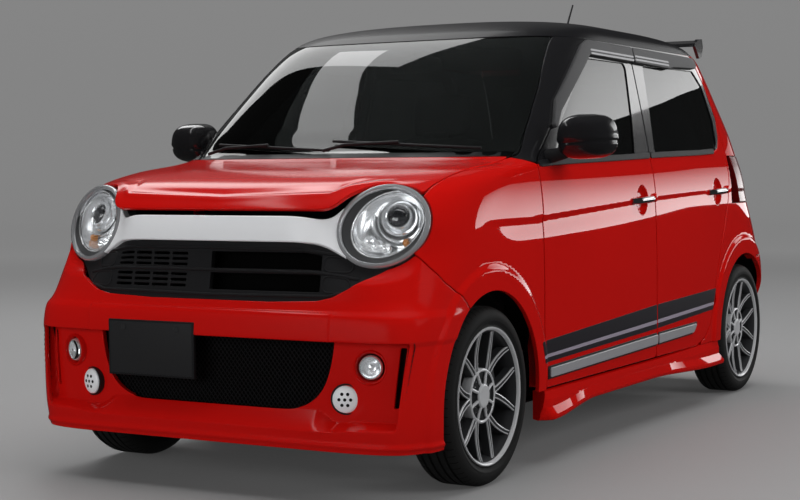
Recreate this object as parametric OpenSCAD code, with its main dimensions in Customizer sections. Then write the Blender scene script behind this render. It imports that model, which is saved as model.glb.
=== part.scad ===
/* [Overall] */
// Overall length over the bumpers
car_length = 3395; // [3370:5:3420]
// Width of the body without the mirrors
car_width = 1475; // [1465:5:1490]
// Height of the roof panel above the ground
roof_height = 1585; // [1570:5:1620]
// Height of the waistline, where the windows start
waist_height = 1060; // [1056:1:1064]

/* [Wheels] */
// Distance between the axles
wheelbase = 2520; // [2510:5:2535]
// Distance from the nose to the front axle
front_overhang = 520; // [515:1:525]
// Distance between the middles of the left and right tyres
track = 1305; // [1295:5:1310]
// Outer diameter of a tyre
tyre_diameter = 571; // [560:1:580]
// Width of a tyre
tyre_width = 165; // [160:1:170]
// Diameter of the wheel over its lips
rim_diameter = 430; // [420:1:436]
// Width of the wheel over its lips
rim_width = 156; // [150:1:160]
// Number of forked spokes in a wheel
spoke_count = 6; // [5:1:7]
// Diameter of the stub axle in each hub
stub_diameter = 50; // [44:1:54]
// Diameter of a front brake disc
disc_diameter = 250; // [230:1:260]

/* [Body panels] */
// Gap between a moving panel and its neighbours
shut_gap = 7; // [6:0.5:8]
// Thickness of a door
door_thickness = 75; // [65:1:80]
// Depth of the body side behind the outer skin
wall_depth = 130; // [120:1:140]
// Thickness of the window glass
glass_thickness = 5; // [4:0.5:6]
// Space between a tyre and the edge of its wheel arch
arch_space = 50; // [47:1:54]
// Distance from the front axle to the front edge of the front door
door_front = 400; // [395:1:408]
// Distance from the front axle to the split between the doors
door_split = 1445; // [1430:1:1460]
// Distance from the rear edge of the rear door, at the waist, to the rear axle
door_tail = 170; // [160:1:180]
// Height of the bottom edge of the doors
door_bottom = 266; // [262:1:275]
// Height of the top edge of the doors
door_top = 1462; // [1450:1:1466]
// Height of the underside of the side skirts
skirt_bottom = 150; // [140:1:158]
// Half width of the hood
hood_half = 650; // [640:1:655]
// Height of the lip at the front of the hood
hood_lip = 885; // [880:1:892]

/* [Front] */
// Diameter of the ring around a headlamp
lamp_ring = 280; // [270:1:286]
// Diameter of a headlamp lens
lamp_lens = 224; // [210:1:234]
// Height of the middle of the headlamps
lamp_height = 838; // [832:1:844]
// Distance of the headlamps from the middle of the car
lamp_side = 565; // [560:1:570]
// Height of the bright bar between the headlamps
bar_height = 80; // [70:1:84]
// Height of the bottom of the upper grille
grille_bottom = 608; // [600:1:616]
// Width across one hexagon of the lower mesh
mesh_cell = 34; // [30:1:40]

/* [Hidden] */
$fn = 64;

// Body sections from the sill to the roof.
// Columns: height, setback of the nose, setback of the tail, tuck of the side,
// length of the nose curve, length of the tail curve, squareness of nose and tail.
SECTIONS = [
    [ 165,    8,   30,  15, 450, 400, 8.0, 8.0],
    [ 250,    0,   10,   4, 450, 400, 8.0, 8.0],
    [ 400,    0,    0,   0, 450, 400, 8.0, 8.0],
    [ 540,    5,    0,   0, 450, 420, 7.5, 8.0],
    [ 620,   25,    7,   0, 480, 450, 5.8, 7.0],
    [ 740,   45,   25,   2, 500, 480, 4.4, 5.5],
    [ 840,   54,   50,   6, 500, 500, 4.2, 4.6],
    [ 910,   88,   75,  10, 540, 500, 4.0, 4.4],
    [ 960,  175,   90,  15, 580, 500, 4.0, 4.4],
    [1000,  355,  105,  21, 600, 500, 4.0, 4.4],
    [1030,  620,  118,  27, 560, 500, 4.3, 4.4],
    [1060,  750,  133,  33, 500, 500, 4.8, 4.4],
    [1150,  860,  180,  50, 500, 500, 5.2, 4.4],
    [1280, 1015,  270,  77, 500, 500, 5.3, 4.3],
    [1400, 1165,  360, 103, 500, 500, 5.3, 4.3],
    [1480, 1285,  440, 124, 500, 500, 5.2, 4.3],
    [1530, 1390,  530, 162, 500, 550, 4.4, 3.8],
    [1563, 1530,  685, 267, 500, 550, 3.2, 3.2],
    [1580, 1740,  895, 467, 360, 360, 2.4, 2.4],
    [1585, 2060, 1235, 717,  50,  50, 2.0, 2.0]
];
section_count = len(SECTIONS);
// Waist, roof and width that the table and the outlines are drawn for
table_belt = 1060;
table_roof = SECTIONS[section_count - 1][0];
table_width = 1475;
// Height below which nothing follows the waist
sill_height = 300;

nose_y = -car_length / 2;
tail_y = car_length / 2;
half_width = car_width / 2;
front_y = nose_y + front_overhang;
rear_y = front_y + wheelbase;
axle_z = tyre_diameter / 2;
wheel_x = track / 2;
arch_radius = axle_z + arch_space;
seat_gap = 0.3;
liner = 10;
liner_clear = 4;
floor_z = 200;
sheet = 22;
boot_floor = 450;
firewall_y = front_y + 330;
step_y = rear_y - 420;
step_thickness = 20;
tower_z = 715;
apron_x = 404;
apron_wall = 12;
rail_x = 330;
rail_z = 330;
far = 3000;
proud = 30;

// Height in the car of a table height: the sill stays, the flanks follow the waist, the cabin the roof
function car_z(h) = h <= sill_height ? h
    : h <= table_belt
    ? sill_height + (h - sill_height) * (waist_height - sill_height) / (table_belt - sill_height)
    : waist_height + (h - table_belt) * (roof_height - waist_height) / (table_roof - table_belt);
// Place across the car of a place in the outlines
function car_x(x) = x * car_width / table_width;

// One section as height, nose, tail, half width, nose and tail curve, the two powers and its table height
BODY = [for (s = SECTIONS)
    [car_z(s[0]), nose_y + s[1], tail_y - s[2], half_width - s[3], s[4], s[5], s[6], s[7], s[0]]];

function body_row(i) = i < 0 ? 2 * BODY[0] - BODY[1]
    : i >= section_count ? 2 * BODY[section_count - 1] - BODY[section_count - 2] : BODY[i];

// Smooth blend of the four sections around a level
function section(level) =
    let (i = max(0, min(floor(level), section_count - 2)), t = level - i,
         a = body_row(i - 1), b = body_row(i), c = body_row(i + 1), d = body_row(i + 2))
    0.5 * (2 * b + (c - a) * t + (2 * a - 5 * b + 4 * c - d) * t * t
        + (3 * b - a - 3 * c + d) * t * t * t);

// Level of a table height, by halving
function level_of(h, low = 0, high = section_count - 1, turns = 22) =
    turns == 0 ? (low + high) / 2
    : let (mid = (low + high) / 2)
      section(mid)[8] < h ? level_of(h, mid, high, turns - 1) : level_of(h, low, mid, turns - 1);
function section_at(h) = section(level_of(h));

// Radius of a rounded square of the given power in the direction of an angle
function squircle(angle, power) =
    pow(pow(abs(cos(angle)), power) + pow(abs(sin(angle)), power), -1 / power);

// Point round a section, moved in by an inset.
// Stations: 0 nose, 1 end of the nose curve, 2 start of the tail curve, 3 tail, 3 to 6 the right side back.
function ring_point(r, s, inset) =
    s < 0 ? mirrored(ring_point(r, -s, inset))
    : s > 3 ? mirrored(ring_point(r, 6 - s, inset))
    : s <= 1 ? let (k = squircle(90 * s, r[6]))
        [(r[3] - inset) * k * sin(90 * s), r[1] + inset + r[4] * (1 - k * cos(90 * s)), r[0]]
    : s <= 2 ? [r[3] - inset, (r[1] + inset + r[4]) * (2 - s) + (r[2] - inset - r[5]) * (s - 1), r[0]]
    : let (k = squircle(90 * (3 - s), r[7]))
        [(r[3] - inset) * k * sin(90 * (3 - s)), r[2] - inset - r[5] * (1 - k * cos(90 * (3 - s))), r[0]];
function mirrored(p) = [-p[0], p[1], p[2]];

// Slab of the body between two insets, with its inner face let down by a drop
module skin(heights, stations, outer, inner, drop = 0) {
    rings = [for (h = heights) section_at(h)];
    cols = len(stations);
    rows = len(heights);
    back = rows * cols;
    points = concat(
        [for (r = rings) for (s = stations) ring_point(r, s, outer)],
        [for (r = rings) for (s = stations) ring_point(r, s, inner) - [0, 0, drop]]);
    faces = concat(
        [for (i = [0 : rows - 2]) for (j = [0 : cols - 2])
            each quad(i * cols + j, (i + 1) * cols + j, (i + 1) * cols + j + 1, i * cols + j + 1)],
        [for (i = [0 : rows - 2]) for (j = [0 : cols - 2])
            each quad(back + i * cols + j, back + i * cols + j + 1,
                back + (i + 1) * cols + j + 1, back + (i + 1) * cols + j)],
        [for (j = [0 : cols - 2]) each quad(j, j + 1, back + j + 1, back + j)],
        [for (j = [0 : cols - 2]) let (k = (rows - 1) * cols + j)
            each quad(k + 1, k, back + k, back + k + 1)],
        [for (i = [0 : rows - 2]) let (k = i * cols)
            each quad(k + cols, k, back + k, back + k + cols)],
        [for (i = [0 : rows - 2]) let (k = i * cols + cols - 1)
            each quad(k, k + cols, back + k + cols, back + k)]);
    polyhedron(points, faces);
}
function quad(a, b, c, d) = [[a, b, c], [a, c, d]];

// Solid cap of the body above a height, moved in and let down
module cap(heights, stations, inset, drop) {
    rings = [for (h = heights) section_at(h)];
    cols = len(stations);
    rows = len(heights);
    points = [for (r = rings) for (s = stations) ring_point(r, s, inset) - [0, 0, drop]];
    faces = concat(
        [for (i = [0 : rows - 2]) for (j = [0 : cols - 1]) let (n = (j + 1) % cols)
            each quad(i * cols + j, (i + 1) * cols + j, (i + 1) * cols + n, i * cols + n)],
        [[for (j = [0 : cols - 1]) j]],
        [[for (j = [cols - 1 : -1 : 0]) (rows - 1) * cols + j]]);
    polyhedron(points, faces);
}

// Outlines drawn through the car, seen from the side or from the front
module from_side(x0 = -far, x1 = far) {
    rotate([90, 0, 90]) translate([0, 0, x0]) linear_extrude(x1 - x0) children();
}
module from_front(y0 = -far, y1 = far) {
    rotate([90, 0, 0]) translate([0, 0, -y1]) linear_extrude(y1 - y0) children();
}
module side_outline(points) {
    polygon([for (p = points) [p[0], car_z(p[1])]]);
}
module front_outline(points) {
    polygon([for (p = points) [car_x(p[0]), car_z(p[1])]]);
}
module both_sides() {
    children();
    mirror([1, 0, 0]) children();
}
module block(low, high) {
    translate(low) cube(high - low);
}
// Round bar across the car
module cross_bar(place, diameter, length) {
    translate(place) rotate([0, 90, 0]) cylinder(d = diameter, h = length);
}

function unit(v) = v / norm(v);
// Outline moved out by a distance; the points run anticlockwise
function grow(points, d) = let (n = len(points))
    [for (i = [0 : n - 1]) let (b = points[i],
        u = unit(b - points[(i + n - 1) % n]), v = unit(points[(i + 1) % n] - b))
        b + d * [u[1] + v[1], -u[0] - v[0]] / (1 + u * v)];
// Outline with each corner rounded by an arc of four chords
function soft(points, radius) = let (n = len(points))
    [for (i = [0 : n - 1]) let (b = points[i],
        u = unit(points[(i + n - 1) % n] - b), v = unit(points[(i + 1) % n] - b),
        half = acos(max(-1, min(1, u * v))) / 2, reach = radius / tan(half),
        middle = b + unit(u + v) * radius / sin(half),
        first = b + u * reach - middle, turn = cross(first, b + v * reach - middle) > 0 ? 1 : -1)
        for (k = [0 : 4]) let (a = turn * k * (180 - 2 * half) / 4)
            middle + [first[0] * cos(a) - first[1] * sin(a), first[0] * sin(a) + first[1] * cos(a)]];
// Right half of an outline that is the same on both sides, from the bottom to the top
function paired(points) = concat(points,
    [for (i = [len(points) - 1 : -1 : 0]) [-points[i][0], points[i][1]]]);

// Outlines seen from the side as place along the car and height
front_pillar_run = 1.42;
pillar_foot = [front_y + door_front, table_belt - 30];
pillar_head = [front_y + door_front + 30 + (door_top - table_belt) * front_pillar_run, door_top];
door_rear = rear_y - door_tail;
front_shut = front_y + door_split - shut_gap / 2;
rear_shut = front_y + door_split + shut_gap / 2;
front_door_outline = [
    [front_y + door_front, door_bottom], [front_shut, door_bottom], [front_shut, door_top],
    pillar_head, pillar_foot];
rear_door_outline = [
    [rear_shut, door_bottom], [rear_y - arch_radius - 85, door_bottom],
    [rear_y - arch_radius - 50, 430], [rear_y - arch_radius - 30, 540], [door_rear - 110, 715],
    [door_rear - 15, 900], [door_rear, table_belt], [door_rear - 110, door_top - 50],
    [door_rear - 190, door_top], [rear_shut, door_top]];
// Width of a window frame in a door
frame_width = 48;
window_top = door_top - frame_width;
front_window_outline = [
    [front_y + door_front + 150, table_belt - 4], [front_shut - 126, table_belt + 8],
    [front_shut - 76, window_top], [pillar_head[0] + 40, window_top]];
rear_window_outline = [
    [rear_shut + 76, table_belt + 8], [door_rear - 70, table_belt + 24],
    [door_rear - 90, table_belt + 150], [door_rear - 150, door_top - 105],
    [door_rear - 225, window_top], [rear_shut + 111, window_top]];
window_corner = 26;
flange = 38;
seal_width = 14;
rebate_space = 8;
rebate = door_thickness + rebate_space;
// Forward lean of the rear face of the front doors, so that its inner edge clears the rear doors
shut_lean = 3;

// Outlines seen from the front as place across the car and height
screen_low = table_belt + 3;
screen_high = door_top + 22;
screen_skirt = 60;
windscreen_outline = paired([
    [650, screen_low - screen_skirt], [650, screen_low], [622, table_belt + 217], [557, screen_high]]);
tailgate_low = 612;
tailgate_high = door_top + 18;
tailgate_outline = paired([[575, tailgate_low], [600, 760], [590, table_belt], [505, tailgate_high]]);
rear_glass_outline = paired([[510, table_belt + 10], [440, tailgate_high - 62]]);

module arch_cut(y, radius, x0 = 0, x1 = far) {
    translate([x0, y, axle_z]) rotate([0, 90, 0]) cylinder(r = radius, h = x1 - x0);
}

// Station lists: close together where the skin turns
nose_half = [0.1, 0.2, 0.32, 0.4, 0.46, 0.5, 0.54, 0.6, 0.7, 0.84];
nose_stations = concat([for (i = [len(nose_half) - 1 : -1 : 0]) -nose_half[i]], [0], nose_half);
screen_half = [0.12, 0.25, 0.37, 0.45, 0.51, 0.57, 0.64];
screen_stations = concat([for (i = [len(screen_half) - 1 : -1 : 0]) -screen_half[i]], [0], screen_half);
side_stations = [0.42, 0.48, 0.54, 0.6, 0.7, 0.85, 1, 1.5, 2, 2.15, 2.3, 2.4, 2.46, 2.52, 2.58, 2.66];
tail_stations = [2.36, 2.42, 2.48, 2.54, 2.62, 2.75, 2.9, 3, 3.1, 3.25, 3.38, 3.46, 3.52, 3.58, 3.64];
bumper_stations = [2, 2.2, 2.35, 2.42, 2.46, 2.5, 2.54, 2.6, 2.75, 2.9, 3,
    3.1, 3.25, 3.4, 3.46, 3.5, 3.54, 3.58, 3.65, 3.8, 4];
door_stations = [0.42, 0.5, 0.56, 0.64, 0.78, 1, 1.5, 2];
rear_door_stations = [1, 1.5, 2, 2.2, 2.35, 2.5];
fender_stations = [0.3, 0.36, 0.42, 0.46, 0.5, 0.54, 0.6, 0.7, 0.85, 1, 1.4];
// Height lists, as in the section table
fender_top = table_belt - 24;
fender_heights = [door_bottom - shut_gap + seat_gap, 400, 540, 620, 700, 760, 840, 900, 935, 960, 985, 1005,
    fender_top];
side_top = door_top + 24;
cabin_heights = [table_belt, 1150, 1280, 1400];
side_heights = concat([205, 330, 480, 620, 740, 860, 940, 1000], cabin_heights, [side_top]);
door_heights = concat([250, 400, 540, 640, 760, 860, 940, 1000], cabin_heights, [side_top]);
grille_heights = [600, 640, 680, 720, 760, 800, 840, hood_lip];

// Lamps in the nose: yaw and lean of the headlamp axis
lamp_yaw = 27;
lamp_lean = 24;
lamp_y = front_y - 375;
module at_lamp() {
    translate([car_x(lamp_side), lamp_y, car_z(lamp_height)]) rotate([0, 0, lamp_yaw])
        rotate([90 - lamp_lean, 0, 0]) children();
}
module lamp_cut(space) {
    depth = 130;
    at_lamp() translate([0, 0, -depth]) cylinder(d = lamp_ring + 2 * space, h = 360);
}
ring_width = 20;
bar_drop = 13;
hood_thickness = 15;
hood_inset = 6;
hood_rear = table_belt - 18;
grille_top = hood_lip - hood_thickness - 6;
grille_outline = paired([
    [225, grille_bottom], [430, grille_bottom + 14], [520, grille_bottom + 46], [600, grille_bottom + 92],
    [600, grille_top]]);
grille_depth = 14;
mesh_bottom = 280;
mesh_top = 487;
mesh_outline = soft(paired([[300, mesh_bottom], [405, mesh_bottom + 40], [452, mesh_top]]), 30);
recess_outline = soft([[486, 288], [690, 306], [716, 500], [500, 500]], 18);
recess_depth = 30;
duct_outline = [[686, 348], [698, 352], [711, 486], [699, 486]];
bumper_depth = 62;
fog_place = [568, 418];
fog_radius = 46;
disc_place = [487, 320];
disc_radius = 34;
split_top = [front_y - 368, 752];
split_knee = [front_y - 228, 626];
split_foot = [front_y - 150, 540];
split_gap = 4;
below = 100;
bumper_side = [[front_y - 600, below], [split_foot[0], below], split_foot, split_knee, split_top,
    [front_y - 600, split_top[1]]];

module floor_pan() {
    inner = half_width - wall_depth + 20;
    nose_beam = front_y - 400;
    tower_top = tower_z + step_thickness;
    color("dimgray") difference() {
        union() {
            block([-inner, firewall_y, floor_z], [inner, step_y, floor_z + sheet]);
            block([-inner, step_y, floor_z], [inner, step_y + step_thickness, boot_floor + sheet]);
            block([-inner, step_y + step_thickness, boot_floor], [inner, tail_y - 190, boot_floor + sheet]);
            block([-inner, firewall_y, floor_z + sheet],
                [inner, firewall_y + step_thickness, car_z(table_belt - 16)]);
            both_sides() {
                block([apron_x - apron_wall, nose_beam, 300], [apron_x, firewall_y, tower_top]);
                block([apron_x - apron_wall, front_y - 62, tower_z], [590, front_y + 62, tower_top]);
                block([rail_x, nose_beam, rail_z], [apron_x - apron_wall, firewall_y, rail_z + 80]);
            }
            block([-apron_x, nose_beam - 20, 300], [apron_x, nose_beam, 480]);
        }
        both_sides() {
            arch_cut(rear_y, arch_radius + liner_clear + liner + seat_gap, 415);
            skin(side_heights, side_stations, -proud, wall_depth + seat_gap);
        }
    }
}

module body_sides() {
    nose_cut = table_belt - 22;
    color("firebrick") both_sides() difference() {
        skin(side_heights, side_stations, 0, wall_depth);
        intersection() {
            skin(door_heights, door_stations, -proud, rebate);
            from_side(0) side_outline(grow(front_door_outline, shut_gap));
        }
        intersection() {
            skin(door_heights, rear_door_stations, -proud, rebate);
            from_side(0) side_outline(grow(rear_door_outline, shut_gap));
        }
        intersection() {
            skin(fender_heights, fender_stations, -proud, rebate);
            block([0, nose_y, below], [far, front_y + door_front + 1, car_z(nose_cut)]);
        }
        block([half_width - rebate, nose_y, below], [far, tail_y, door_bottom + 1]);
        from_side(0) {
            side_outline(grow(front_door_outline, -flange));
            side_outline(grow(rear_door_outline, -flange));
            side_outline([[nose_y, below], [firewall_y + 22, below], [firewall_y + 22, nose_cut],
                [nose_y, nose_cut]]);
        }
        from_front(nose_y, front_y + 1000) front_outline(grow(windscreen_outline, seat_gap));
        from_front(rear_y - 100, tail_y + 100) front_outline(grow(tailgate_outline, shut_gap));
        arch_cut(rear_y, arch_radius);
        block([0, rear_y + 150, below], [far, tail_y + 100, car_z(602)]);
        lamp_pocket(seat_gap);
    }
}

module roof_panel() {
    heights = [side_top + seat_gap, 1506, 1530, 1550, 1563, 1574, 1581, table_roof - 0.5];
    half = [0.2, 0.4, 0.5, 0.6, 0.8, 1, 1.5, 2, 2.2, 2.4, 2.5, 2.6, 2.8];
    stations = concat([for (i = [len(half) - 1 : -1 : 0]) -half[i]], [0], half, [3]);
    color("black") {
        difference() {
            cap(heights, stations, 0, 0);
            cap(heights, stations, 60, 42);
        }
        antenna();
    }
}
module antenna() {
    foot = [0, rear_y - 315, car_z(1556)];
    translate(foot) cylinder(d1 = 46, d2 = 20, h = 26);
    translate(foot) rotate([-30, 0, 0]) cylinder(d = 7, h = 220);
}

module cowl() {
    side = car_x(hood_half) - seat_gap;
    color("black") intersection() {
        skin([table_belt - 14, table_belt - 7, table_belt], screen_stations, 2, 170);
        block([-side, nose_y, 0], [side, hinge_y - hinge_space, far]);
    }
}
// The hood swings about this line across the car, just behind its rear corners
hinge_y = front_y + 372;
hinge_space = 14;

module engine_block() {
    color("silver") block([seat_gap - rail_x, front_y - 330, rail_z],
        [rail_x - seat_gap, front_y + 230, car_z(800)]);
}

module wheel_housings() {
    inner_x = 416;
    // Columns: axle, inner end, outer end
    for (axle = [[front_y, apron_x + seat_gap, half_width - door_thickness - 10],
                 [rear_y, inner_x, half_width - wall_depth - 30]])
        color("black") both_sides() translate([axle[1], axle[0], axle_z]) rotate([0, 90, 0]) difference() {
            cylinder(r = arch_radius + liner_clear + liner, h = axle[2] - axle[1]);
            translate([0, 0, -1]) cylinder(r = arch_radius + liner_clear, h = far);
            translate([-40, -far / 2, -1]) cube(far);
            translate([-far, -32, 90]) cube([far, 64, 90]);
            translate([-far, tail_y - bumper_depth - 60 - rear_y, -1]) cube(2 * far);
        }
}

module hood() {
    color("red") difference() {
        skin([hood_lip, 898, 912, 935, 960, 982, 1000, 1016, 1030, hood_rear],
            nose_stations, 0, hood_inset, hood_thickness);
        both_sides() block([car_x(hood_half), nose_y, below], [far, tail_y, far]);
        both_sides() lamp_cut(shut_gap);
    }
}

module front_fenders() {
    color("red") both_sides() difference() {
        skin(fender_heights, fender_stations, 0, rebate - seat_gap);
        block([0, nose_y, below], [car_x(hood_half) + shut_gap, front_y + 900, far]);
        block([0, front_y + door_front - shut_gap, below], [far, tail_y, far]);
        from_side(0) side_outline(grow(bumper_side, split_gap));
        arch_cut(front_y, arch_radius);
        lamp_cut(1);
    }
}

module front_bumper() {
    color("red") difference() {
        skin([165, 200, 250, 330, 420, 500, 540, 580, 620, 680, split_top[1]],
            nose_stations, 0, bumper_depth);
        from_side() side_outline([split_top, split_knee, split_foot, [split_foot[0], below], [tail_y, below],
            [tail_y, 900], [split_top[0], 900]]);
        from_front(nose_y - 10, front_y) {
            front_outline(grow(grille_outline, seat_gap));
            front_outline(mesh_outline);
        }
        both_sides() {
            arch_cut(front_y, arch_radius);
            lamp_cut(1);
            intersection() {
                skin([270, 330, 420, 520], [0.2, 0.32, 0.4, 0.46, 0.5, 0.54, 0.6, 0.7], -proud, recess_depth);
                from_front(nose_y - 50, front_y) front_outline(recess_outline);
            }
            from_front(nose_y - 10, front_y - 200) {
                front_outline(duct_outline);
                translate([car_x(fog_place[0]), car_z(fog_place[1])]) circle(r = fog_radius);
                translate([car_x(disc_place[0]), car_z(disc_place[1])]) circle(r = disc_radius);
            }
        }
    }
}

module grille() {
    slot = [34, 13];
    pitch = [46, 24];
    thickness = 26;
    first_slot = 215;
    rows = [grille_bottom + 32, grille_bottom + 106];
    color("black") difference() {
        intersection() {
            skin(grille_heights, nose_stations, grille_depth, grille_depth + thickness);
            from_front(nose_y - 10, front_y) front_outline(grille_outline);
        }
        both_sides() lamp_cut(1);
        from_front(nose_y - 10, front_y) for (side = [-1, 1]) for (row = rows)
            for (i = [0 : 3]) for (j = [0 : 1])
                translate([car_x(side * (first_slot + i * pitch[0])), car_z(row) + j * pitch[1]])
                    square(slot, center = true);
    }
}

module grille_garnish() {
    reach = car_x(600);
    color("silver") {
        difference() {
            intersection() {
                skin(grille_heights, nose_stations, -8, grille_depth - seat_gap);
                from_front(nose_y - 50, front_y)
                    translate([-reach, car_z(lamp_height - bar_drop) - bar_height / 2])
                    square([2 * reach, bar_height]);
            }
            both_sides() lamp_cut(-6);
        }
        both_sides() at_lamp() rotate_extrude() translate([lamp_ring / 2 - ring_width, -30])
            polygon([[0, 0], [ring_width, 0], [ring_width, 34], [14, 42], [4, 40], [0, 34]]);
    }
}

module headlamps() {
    bucket = lamp_ring / 2 - ring_width - seat_gap;
    color("gainsboro") both_sides() at_lamp() rotate_extrude()
        polygon([[0, -95], [70, -95], [bucket, -34], [bucket, 4], [lamp_lens / 2, 16],
            [lamp_lens / 2 - 24, 34], [50, 44], [0, 47]]);
}

module fog_lamps() {
    sunk = 4;
    color("silver") both_sides() for (lamp = [[fog_place, fog_radius], [disc_place, disc_radius]])
        translate([car_x(lamp[0][0]), nose_y + recess_depth + bumper_depth, car_z(lamp[0][1])])
            rotate([90, 0, 0]) cylinder(r = lamp[1] - seat_gap, h = bumper_depth - sunk);
}

module lower_mesh() {
    strand = 5;
    border = 8;
    row = mesh_cell * sqrt(3) / 2;
    columns = floor(car_x(480) / mesh_cell);
    rows = ceil((car_z(mesh_top) - mesh_bottom) / row);
    color("black") translate([0, nose_y + 40, 0]) from_front(-8, 0) difference() {
        front_outline(grow(mesh_outline, -seat_gap));
        intersection() {
            front_outline(grow(mesh_outline, -border));
            for (j = [0 : rows]) for (i = [-columns : columns])
                translate([(i + (j % 2) / 2) * mesh_cell, mesh_bottom - 10 + j * row])
                    rotate(30) circle(d = (mesh_cell - strand) * 2 / sqrt(3), $fn = 6);
        }
    }
}

module windscreen() {
    color("lightblue") intersection() {
        skin([screen_low - 2.5, 1150, 1280, 1400, 1450, screen_high],
            screen_stations, 2, 2 + glass_thickness);
        from_front(nose_y, front_y + 1000) front_outline(windscreen_outline);
    }
}

// Pull handle on a door, at a place behind the front axle
handle_length = 190;
handle_height = 881;
handle_stand = 34;
handle_grip = 20;
module door_handle(place) {
    foot = 18;
    translate([half_width - 8, front_y + place, car_z(handle_height)]) {
        for (end = [-1, 1]) translate([-20, end * (handle_length - foot) / 2 - foot / 2, -foot / 2])
            cube([handle_stand + 10, foot, foot]);
        translate([handle_stand - handle_grip / 2, -handle_length / 2, 0]) rotate([-90, 0, 0])
            cylinder(d = handle_grip, h = handle_length);
    }
}
// Door in two steps: a lip as large as the opening and a smaller inner part
door_lip = 22;
door_step = 12;
module door_shape(outline, stations) {
    intersection() {
        skin(door_heights, stations, 0, door_lip);
        from_side(0) side_outline(outline);
    }
    intersection() {
        skin(door_heights, stations, 0, door_thickness);
        from_side(0) side_outline(grow(outline, -door_step));
    }
}
module door_front_panel() {
    difference() {
        door_shape(front_door_outline, door_stations);
        from_side(0) side_outline(soft(front_window_outline, window_corner));
        translate([half_width, front_shut, 0]) rotate(shut_lean) translate([-far, 0, 0])
            cube([2 * far, far, far]);
    }
    door_handle(door_split - 140);
}
module door_rear_panel() {
    difference() {
        door_shape(rear_door_outline, rear_door_stations);
        from_side(0) side_outline(soft(rear_window_outline, window_corner));
        arch_cut(rear_y, arch_radius);
    }
    door_handle(wheelbase - door_tail - 170);
}
module door_glass(outline) {
    inset = 18;
    intersection() {
        skin(concat([1000], cabin_heights, [side_top]), [0.42, 0.5, 0.56, 0.64, 0.78, 1, 2, 2.2, 2.35, 2.5],
            inset, inset + glass_thickness);
        from_side(0) side_outline(grow(soft(outline, window_corner), -seat_gap));
    }
}
module door_seal(outline, stations) {
    intersection() {
        skin(door_heights, stations, door_thickness + seat_gap, rebate - seat_gap);
        from_side(0) difference() {
            side_outline(grow(outline, seal_width - flange));
            side_outline(grow(outline, -flange));
        }
    }
}
module door_seals() {
    color("black") both_sides() {
        door_seal(front_door_outline, door_stations);
        door_seal(rear_door_outline, rear_door_stations);
    }
}
module door_front_left() { color("red") door_front_panel(); }
module door_front_right() { color("red") mirror([1, 0, 0]) door_front_panel(); }
module door_rear_left() { color("red") door_rear_panel(); }
module door_rear_right() { color("red") mirror([1, 0, 0]) door_rear_panel(); }
module glass_front_left() { color("lightblue") door_glass(front_window_outline); }
module glass_front_right() { color("lightblue") mirror([1, 0, 0]) door_glass(front_window_outline); }
module glass_rear_left() { color("lightblue") door_glass(rear_window_outline); }
module glass_rear_right() { color("lightblue") mirror([1, 0, 0]) door_glass(rear_window_outline); }

module mirror_body() {
    base = [half_width - 22, front_y + door_front + 90, car_z(table_belt + 8)];
    face = 118;
    // Columns: corner of the shell from the base, diameter
    corners = [[[64, 2, 26], 76], [[60, 14, 92], 70], [[146, 50, 30], 64], [[148, 56, 88], 64],
        [[72, 92, 24], 70], [[70, 92, 96], 66], [[172, 108, 28], 62], [[174, 108, 92], 62]];
    difference() {
        union() {
            hull() for (c = corners) translate(base + c[0]) sphere(d = c[1], $fn = 16);
            block(base + [-60, -10, -2], base + [60, 26, 18]);
        }
        block(base + [18, face, -60], base + [260, 240, 180]);
        skin(door_heights, door_stations, -seat_gap, door_thickness);
    }
}
module mirror_left() { color("black") mirror_body(); }
module mirror_right() { color("black") mirror([1, 0, 0]) mirror_body(); }

gate_thickness = 60;
gate_lip = 20;
gate_step = 20;
module tailgate() {
    color("red") difference() {
        // Columns: thickness, step in from the opening
        for (layer = [[gate_lip, 0], [gate_thickness, gate_step]]) intersection() {
            skin(concat([590, 700, 780, 860, 940, 1000], cabin_heights, [tailgate_high]),
                tail_stations, 0, layer[0]);
            from_front(rear_y - 100, tail_y + 100) front_outline(grow(tailgate_outline, -layer[1]));
        }
        from_front(rear_y - 100, tail_y + 100) front_outline(soft(rear_glass_outline, window_corner));
    }
}
module tailgate_glass() {
    inset = 10;
    color("lightblue") intersection() {
        skin(concat(cabin_heights, [tailgate_high]), tail_stations, inset, inset + glass_thickness);
        from_front(rear_y - 100, tail_y + 100)
            front_outline(grow(soft(rear_glass_outline, window_corner), -seat_gap));
    }
}
// Wing over the tailgate on two feet, with a plate at each end
wing_half = 530;
module spoiler() {
    plate = 14;
    foot = [220, 40];
    top = tailgate_high;
    front = tail_y - 424;
    blade = [[front, top + 64], [front + 98, top + 82], [front + 104, top + 94], [front + 54, top + 96],
        [front + 8, top + 80]];
    end_plate = [[front + 64, top + 14], [front + 98, top + 22], [front + 112, top + 70],
        [front + 100, top + 104], [front + 50, top + 100], [front + 6, top + 72]];
    stem = [[front + 14, top - 60], [front + 80, top - 60], [front + 80, top + 80], [front + 14, top + 72]];
    half = car_x(wing_half);
    color("black") difference() {
        union() {
            from_side(-half, half) side_outline(blade);
            both_sides() {
                from_side(half - plate, half) side_outline(soft(end_plate, 8));
                from_side(foot[0], foot[0] + foot[1]) side_outline(stem);
            }
        }
        skin(concat(cabin_heights, [tailgate_high, tailgate_high + 6]),
            tail_stations, -seat_gap, gate_thickness);
    }
}

bumper_top = 600;
module rear_bumper() {
    color("red") difference() {
        skin([165, 250, 330, 420, 520, bumper_top], bumper_stations, 0, bumper_depth);
        both_sides() arch_cut(rear_y, arch_radius);
        block([-far, nose_y, 0], [far, rear_y + 150 + seat_gap, 1000]);
    }
}

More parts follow.
